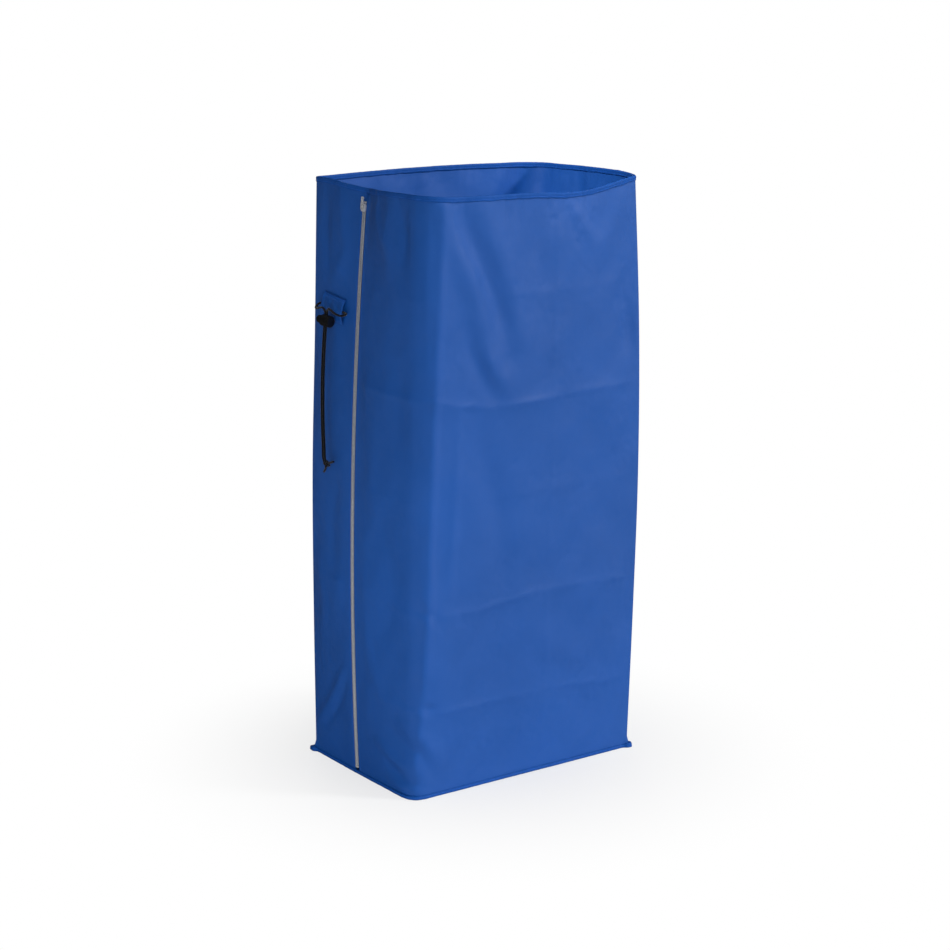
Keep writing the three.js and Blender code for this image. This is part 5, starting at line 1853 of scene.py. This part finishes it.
def light(name, kind, place, target, power, **shape):
    """A light at a place, turned to a target; shape sets its size or angle."""
    data = bpy.data.lights.new(name, kind)
    data.energy = power
    for label, value in shape.items():
        setattr(data, label, value)
    made = bpy.data.objects.new(name, data)
    made.location = place
    made.rotation_euler = (Vector(target) - Vector(place)).to_track_quat("-Z", "Y").to_euler()
    made.visible_camera = False
    bpy.context.scene.collection.objects.link(made)
    return made


def pale_floor():
    """A pale floor near the sack that fades to plain white further out."""
    floor, net, shader = material("pale_floor", (0.94, 0.94, 0.94), 0.6)
    place = net.add("ShaderNodeTexCoord").outputs["Object"]
    fine = net.noise(place, 3.0, 4.0)
    net.feed(shader.inputs["Roughness"], net.ramp(fine, 0.3, 0.7, 0.55, 0.65))
    distance = net.add("ShaderNodeVectorMath", {0: place}, operation="LENGTH").outputs["Value"]
    far = net.add("ShaderNodeMapRange", {"Value": distance, "From Min": -0.5, "From Max": 0.6},
                  interpolation_type="SMOOTHSTEP").outputs["Result"]
    path = net.add("ShaderNodeLightPath").outputs
    seen = path["Is Camera Ray"]
    dim = net.add("ShaderNodeBsdfDiffuse", {"Color": (0.12, 0.12, 0.12, 1)})
    plain = net.add("ShaderNodeEmission", {"Color": (1, 1, 1, 1), "Strength": 1.0})
    blend = net.add("ShaderNodeMixShader", {0: net.math("MULTIPLY", far, seen)})
    net.feed(blend.inputs[1], shader.outputs[0])
    net.feed(blend.inputs[2], plain.outputs[0])
    mirrored = net.add("ShaderNodeMixShader", {0: path["Is Glossy Ray"]})
    net.feed(mirrored.inputs[1], blend.outputs[0])
    net.feed(mirrored.inputs[2], dim.outputs[0])
    net.feed(floor.node_tree.nodes["Material Output"].inputs["Surface"], mirrored.outputs[0])
    return floor


class SACK_OT_stage(bpy.types.Operator):
    """Set the pale floor, the soft light and the camera"""

    bl_idname = "sack.stage"
    bl_label = "Stage"

    def execute(self, context):
        stage = settings(context)[3]
        scene = context.scene
        scene.view_settings.view_transform = "Standard"
        scene.view_settings.look = "None"
        back = Vector((math.sin(stage.azimuth) * math.cos(stage.elevation),
                       -math.cos(stage.azimuth) * math.cos(stage.elevation),
                       math.sin(stage.elevation)))
        data = bpy.data.cameras.new("camera")
        data.lens = stage.lens
        data.sensor_width = 36
        data.clip_end = 100
        camera = bpy.data.objects.new("camera", data)
        camera.location = Vector(AIM) + back * stage.distance
        camera.rotation_euler = (-back).to_track_quat("-Z", "Y").to_euler()
        scene.collection.objects.link(camera)
        scene.camera = camera

        MATERIALS["pale_floor"] = pale_floor()
        ring = [(14 * math.cos(a), 14 * math.sin(a)) for a in np.linspace(0, 2 * math.pi, 65)[:-1]]
        mesh = bpy.data.meshes.new("floor")
        mesh.from_pydata([(x, y, -0.0006) for x, y in ring], [], [list(range(len(ring)))])
        linked("floor", mesh, "pale_floor")

        world = bpy.data.worlds.new("white room")
        world.use_nodes = True
        scene.world = world
        net = Net(world.node_tree)
        seen = world.node_tree.nodes["Background"]
        seen.inputs["Color"].default_value = (1, 1, 1, 1)
        seen.inputs["Strength"].default_value = 1.0
        path = net.add("ShaderNodeLightPath").outputs
        level = net.math("MULTIPLY", path["Is Glossy Ray"], -0.5)
        level = net.math("MULTIPLY", net.math("ADD", level, 1.0), stage.surroundings)
        dim = net.add("ShaderNodeBackground", {"Color": (1, 1, 1, 1), "Strength": level})
        choose = net.add("ShaderNodeMixShader", {0: path["Is Camera Ray"]})
        net.feed(choose.inputs[1], dim.outputs[0])
        net.feed(choose.inputs[2], seen.outputs[0])
        net.feed(world.node_tree.nodes["World Output"].inputs["Surface"], choose.outputs[0])
        light("key", "SUN", (2.9, -2.9, 2.8), (0, 0, 0.5), stage.key, angle=math.radians(10))
        light("side", "SUN", (-2.0, -3.4, 1.6), (0, 0, 0.5), stage.side,
              angle=math.radians(24)).visible_glossy = False
        light("back", "SUN", (1.8, 3.4, 1.6), (0, 0, 0.5), 0.25 * stage.key,
              angle=math.radians(24)).visible_glossy = False
        light("low", "AREA", (-1.0, -0.36, 0.16), (-0.22, 0, 0.14), stage.low,
              size=0.5).visible_glossy = False
        light("mouth", "SPOT", (-0.9, -0.5, 1.8), (0.27, 0.02, 0.93), stage.mouth,
              spot_size=math.radians(17), spot_blend=0.6, shadow_soft_size=0.1)
        light("overhead", "AREA", (-0.2, -0.2, 3.2), (-0.1, -0.1, 0), stage.overhead, size=3.0)
        return {"FINISHED"}


# ---- Panel -------------------------------------------------------------------------------------

STEPS = ["stage", "cord", "walls", "base", "mouth", "seams", "zip", "slider", "patch", "lock"]
GROUPS = {"sack_cloth": SackClothSettings, "sack_zip": SackZipSettings,
          "sack_cord": SackCordSettings, "sack_stage": SackStageSettings}


class SACK_PT_panel(bpy.types.Panel):
    """The sack's settings and the steps that build it"""

    bl_idname = "SACK_PT_panel"
    bl_label = "Zipped sack"
    bl_space_type = "VIEW_3D"
    bl_region_type = "UI"
    bl_category = "Sack"

    def draw(self, context):
        for group in GROUPS:
            box = self.layout.box()
            values = getattr(context.scene, group)
            for name in values.bl_rna.properties.keys():
                if name not in {"rna_type", "name"}:
                    box.prop(values, name)
        for step in STEPS:
            self.layout.operator(f"sack.{step}")


CLASSES = [*GROUPS.values(), SACK_OT_stage, SACK_OT_cord, SACK_OT_walls, SACK_OT_base,
           SACK_OT_mouth, SACK_OT_seams, SACK_OT_zip, SACK_OT_slider, SACK_OT_patch,
           SACK_OT_lock, SACK_PT_panel]


def register():
    for item in CLASSES:
        bpy.utils.register_class(item)
    for name, group in GROUPS.items():
        setattr(bpy.types.Scene, name, bpy.props.PointerProperty(type=group))


def unregister():
    for name in GROUPS:
        delattr(bpy.types.Scene, name)
    for item in reversed(CLASSES):
        bpy.utils.unregister_class(item)


def main():
    register()
    make_materials(bpy.context)
    for step in STEPS:
        getattr(bpy.ops.sack, step)()


if __name__ == "__main__":
    main()
